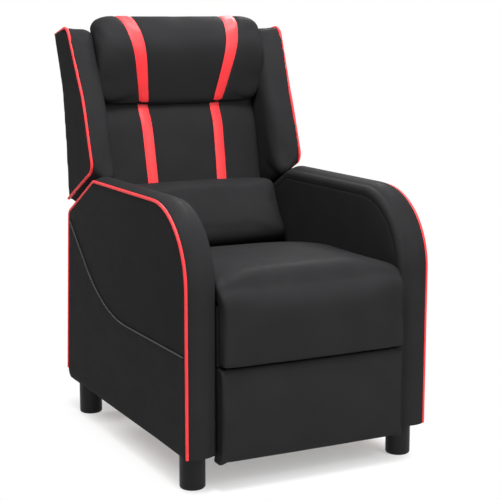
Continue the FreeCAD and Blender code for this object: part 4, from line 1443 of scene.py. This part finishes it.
    def build_headrest(self) -> None:
        """Blow the headrest up, tuck its chin in, lift its shoulders and sew its stripes in."""
        pillow = copy_of("headrest_pillow", ["headrest"])
        plump(pillow, self.pillow, self.held_behind)
        places = points(pillow)
        back, up = self.axes.local(places)
        middle = (self.headrest_bottom + self.headrest_top) / 2
        chin = 1 - ramp(up, self.headrest_bottom, self.chin_reach)
        tuck = -np.minimum(back, 0) * (self.headrest_tuck[0] + self.headrest_tuck[1] * chin)
        across = np.abs(places[:, 0]) / MM
        shoulder = ramp(across, *self.shoulder_x) * ramp(up, middle, self.headrest_top)
        lift = self.shoulder_rise * shoulder - self.headrest_drop * chin
        put_points(pillow, self.axes.moved(places, tuck, lift))
        smooth_shade(pillow)
        low = (self.crease_stripe_offset, self.headrest_bottom - self.headrest_drop, self.chin_stripe_width)
        high = (self.head_stripe_offset, self.headrest_top, self.head_stripe_width)
        ends = [(self.axes.spot(0, self.head_stripe_rear, 0), self.axes.backward)]
        self.add_stripes("headrest_stripe", pillow, low, high, ends, "headrest_stripes")
        dress(pillow, Body.BACKREST, Slot.BLACK, ["headrest"])

    def build_lumbar(self) -> None:
        """Blow the lumbar cushion up and let it down on the seat."""
        cushion = copy_of("lumbar_pad", ["lumbar_cushion"])
        plump(cushion, self.lumbar, self.held_behind)
        cushion.data.transform(Matrix.Translation(-self.axes.upward * self.lumbar_drop * MM))
        smooth_shade(cushion)
        dress(cushion, Body.BACKREST, Slot.BLACK, ["lumbar_cushion"])

    def splay(self, piece: Piece) -> None:
        """Set a left wing's piece back below and forward above, and thicken it towards its top.

        Args:
            piece: the wing or its piping.
        """
        places = points(piece)
        back, up = self.axes.local(places)
        turned = ramp(up, *self.wing_turn)
        shift = self.wing_set[0] * (1 - turned) + self.wing_set[1] * turned
        shift += self.wing_rear * (1 - turned) * ramp(back, *self.wing_rear_reach)
        places = self.axes.moved(places, shift, self.wing_rise * turned)
        share = self.wing_splay / (self.wing_outer_x - self.wing_inner_x) * ramp(up, *self.wing_splay_reach)
        places[:, 0] += (places[:, 0] - self.wing_inner_x * MM) * share
        put_points(piece, places)

    def sag(self, piece: Piece) -> None:
        """Let the foot of a left wing's piece hang lower towards the sitter.

        Args:
            piece: the wing or its piping.
        """
        places = points(piece)
        _, up = self.axes.local(places)
        inner = 1 - ramp(places[:, 0] / MM, *self.wing_sag_x)
        drop = self.wing_sag * inner * (1 - ramp(up, *self.wing_sag_reach))
        put_points(piece, self.axes.moved(places, up=-drop))

    def wing_welt(self) -> Piece:
        """Pipe the left wing's outer edge in red, tucked in at its rear end.

        Returns:
            The piping.
        """
        corners = [self.axes.sheet(*corner) for corner in self.wing_edge]
        line = rounded_path("left_wing_welt", corners, closed=False, steps=14)
        offset_x = self.wing_outer_x + self.piping_proud - self.piping_radius
        welt = swept(line, radius=self.piping_radius, offset_x=offset_x)
        places = points(welt)
        back, _ = self.axes.local(places)
        places[:, 0] -= self.piping_tuck * MM * ramp(back, *self.piping_end)
        put_points(welt, places)
        return welt

    def held_wing(self, places: Rows, outward: Rows) -> Rows:
        """Hold a left wing's outer rim, its rear and its foot.

        Args:
            places: the cushion's points.
            outward: their outward directions.

        Returns:
            Share from 0 to 1 that each point is held.
        """
        rim = [(self.wing_outer_x - inset) * MM for inset in self.wing_rim]
        outside, foot = ramp(places[:, 0], *rim), ramp(-outward[:, 2], *FACING)
        return np.maximum.reduce([outside, self.from_behind(outward), foot])

    def build_wings(self) -> None:
        """Blow the left wing up, pipe its outer edge and mirror both."""
        wing = copy_of("left_wing_pad", ["left_wing", "left_wing_piping", "wing_outriggers"])
        with editing(wing):
            bpy.ops.mesh.bisect(plane_co=Vector((self.wing_inner_x * MM, 0, 0)),
                                plane_no=Vector((-1, 0, 0)), clear_outer=True, use_fill=True)
        plump(wing, self.wing, self.held_wing)
        smooth_shade(wing)
        welt = self.wing_welt()
        sew(wing, distance_from(wing, welt), *self.piping_seam)
        rear, origin = self.axes.backward, self.axes.origin
        choose(wing, "VERT", lambda vertex: (vertex.co - origin).dot(rear) > self.wing_rear_from * MM)
        with editing(wing, everything=False):
            bpy.ops.mesh.vertices_smooth(factor=SMOOTHING, repeat=self.wing_rounds)
        for piece in (wing, welt):
            self.sag(piece)
            self.splay(piece)
        dress_pair(wing, Body.BACKREST, Slot.BLACK, ["left_wing"])
        dress_pair(welt, Body.BACKREST, Slot.RED, ["left_wing_piping"])

    def held_rear(self, places: Rows, outward: Rows) -> Rows:
        """Hold the rear cover at its sides and where it turns away from the rear."""
        turned = 1 - ramp(outward @ np.array(self.axes.backward), *self.rear_facing)
        return np.maximum(turned, ramp(np.abs(places[:, 0]) / MM, *self.rear_rim))

    def build_rear(self) -> None:
        """Stretch the rear cover over the back's frame and close the frame's top with a flap."""
        cover = copy_of("back_cover", ["back_outer_panel"])
        plump(cover, self.rear, self.held_rear)
        spread_sides(cover, self.rear_spread)
        smooth_shade(cover)
        dress(cover, Body.BACKREST, Slot.BLACK, ["back_outer_panel"])
        corners = [self.axes.sheet(*corner) for corner in self.top_flap]
        top = flap("back_top_flap", corners, -self.top_flap_half, self.top_flap_half,
                   self.top_flap_thickness)
        dress(top, Body.BACKREST, Slot.BLACK)

    def build(self) -> None:
        """Make every soft piece of the backrest."""
        self.build_pad()
        self.build_headrest()
        self.build_lumbar()
        self.build_wings()
        self.build_rear()


@dataclass
class RearRail:
    """Stretcher between the arms at the rear, wrapped in leather."""

    edge: float = 7.0

    def build(self) -> None:
        """Wrap the stretcher: a block at its size with rolled edges."""
        rail = rolled_block("rear_rail_cover", *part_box("rear_rail"), self.edge)
        dress(rail, Body.BASE, Slot.BLACK, ["rear_rail"])


@dataclass(frozen=True)
class Softbox:
    """Square lamp: its place, what it faces and its side in metres, and its power in watts."""

    name: str
    place: Place
    aim: Place
    size: float
    power: float

    def hang(self) -> None:
        """Hang the lamp."""
        data = bpy.data.lights.new(self.name, "AREA")
        data.shape = "SQUARE"
        data.size = self.size
        data.energy = self.power
        lamp = add_object(self.name, data)
        lamp.location = self.place
        lamp.rotation_euler = (Vector(self.aim) - Vector(self.place)).to_track_quat("-Z", "Y").to_euler()


@dataclass
class Studio:
    """White sweep, soft light and the camera of the view; lengths in metres, angles in degrees."""

    camera_place: Place = (-1.4497, -2.9635, 1.0447)
    pitch: float = 79.96
    yaw: float = -26.78
    lens: float = 95.75
    sensor: float = 36.0
    shift: Pair = (0.0047, 0.0028)
    floor_radius: float = 9.0
    floor_sides: int = 96
    floor_drop: float = 0.0003
    floor_colour: str = "#f4f4f4"
    white: tuple[float, float, float, float] = (1.0, 1.0, 1.0, 1.0)
    ambient: float = 0.30
    shadow_half: Pair = (0.22, 0.34)
    fade: float = 0.14
    least_white: float = 0.35
    lamps: Sequence[Softbox] = (
        Softbox("key_softbox", (0.9, -3.1, 2.0), (0.0, 0.0, 0.5), 1.6, 68.0),
        Softbox("top_softbox", (0.9, 0.2, 3.0), (0.0, 0.0, 0.5), 0.45, 46.0),
        Softbox("fill_softbox", (-0.45, -0.75, 2.3), (0.15, -0.2, 0.5), 0.8, 56.0),
        Softbox("rim_softbox", (1.3, 1.6, 2.2), (0.0, -0.3, 0.5), 0.55, 28.0))

    def camera(self) -> None:
        """Set the camera at the photograph's place."""
        data = bpy.data.cameras.new("view_camera")
        data.lens = self.lens
        data.sensor_width = self.sensor
        data.shift_x, data.shift_y = self.shift
        camera = add_object("view_camera", data)
        camera.location = self.camera_place
        camera.rotation_euler = (math.radians(self.pitch), 0.0, math.radians(self.yaw))
        bpy.context.scene.camera = camera

    def seen_rays(self, tree: Tree) -> Socket:
        """Tell the rays that show a background: camera, glossy and transmission.

        Args:
            tree: node tree of the floor's material or the world.

        Returns:
            1 for these rays and 0 for others.
        """
        path = add_node(tree, "LightPath")
        seen = path.outputs["Is Camera Ray"]
        for ray in ("Is Glossy Ray", "Is Transmission Ray"):
            either = add_node(tree, "Math", {0: seen, 1: path.outputs[ray]}, operation="MAXIMUM")
            seen = either.outputs[0]
        return seen

    def world(self) -> None:
        """White where it is seen, and a lower even light where it lights the chair."""
        world = bpy.data.worlds.new("white_studio")
        bpy.context.scene.world = world
        world.use_nodes = True
        tree = world.node_tree
        tree.nodes.clear()
        strength = add_node(tree, "MapRange", {
            "Value": self.seen_rays(tree), "To Min": self.ambient, "To Max": 1.0})
        light = add_node(tree, "Background", {"Color": self.white, "Strength": strength.outputs[0]})
        add_node(tree, "OutputWorld", {"Surface": light.outputs[0]})

    def floor(self) -> None:
        """Pale floor that keeps the chair's shadow and goes over into the white round it."""
        deselect()
        bpy.ops.mesh.primitive_circle_add(vertices=self.floor_sides, radius=self.floor_radius,
                                          fill_type="NGON", location=(0, 0, -self.floor_drop))
        floor = bpy.context.active_object
        floor.name = "studio_floor"
        material, tree, place = fresh_material("white_paper_sweep")
        apart = add_node(tree, "VectorMath", {0: place}, operation="ABSOLUTE")
        outside = add_node(tree, "VectorMath", {0: apart.outputs[0], 1: (*self.shadow_half, 1.0)},
                           operation="SUBTRACT")
        beyond = add_node(tree, "VectorMath", {0: outside.outputs[0], 1: (0.0, 0.0, 0.0)},
                          operation="MAXIMUM")
        distance = add_node(tree, "VectorMath", {0: beyond.outputs[0]}, operation="LENGTH")
        far = add_node(tree, "MapRange", {
            "Value": distance.outputs["Value"], "From Max": self.fade, "To Min": self.least_white},
            interpolation_type="SMOOTHSTEP")
        share = add_node(tree, "Math", {0: far.outputs[0], 1: self.seen_rays(tree)},
                         operation="MULTIPLY")
        paper = add_node(tree, "BsdfDiffuse", {"Color": linear(self.floor_colour)})
        white = add_node(tree, "Emission", {"Color": self.white, "Strength": 1.0})
        mixed = add_node(tree, "MixShader", {
            0: share.outputs[0], 1: paper.outputs[0], 2: white.outputs[0]})
        add_node(tree, "OutputMaterial", {"Surface": mixed.outputs[0]})
        floor.data.materials.append(material)

    def build(self) -> None:
        """Set the camera, the light and the floor."""
        self.camera()
        self.world()
        self.floor()
        for lamp in self.lamps:
            lamp.hang()
        bpy.context.scene.view_settings.view_transform = "Standard"


def dress_solids() -> None:
    """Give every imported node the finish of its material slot."""
    for row in frame["record"]["subparts"]:
        node = frame["nodes"][row["node"]]
        node.data.materials.clear()
        node.data.materials.append(FINISHES[Slot(row["material_slot"])])


def main() -> None:
    """Build the scene in order."""
    logging.basicConfig(level=logging.INFO, format="%(name)s %(message)s")
    Studio().build()
    dress_solids()
    Arms().build()
    Seat().build()
    Footrest().build()
    RearRail().build()
    Backrest().build()


if __name__ == "__main__":
    main()
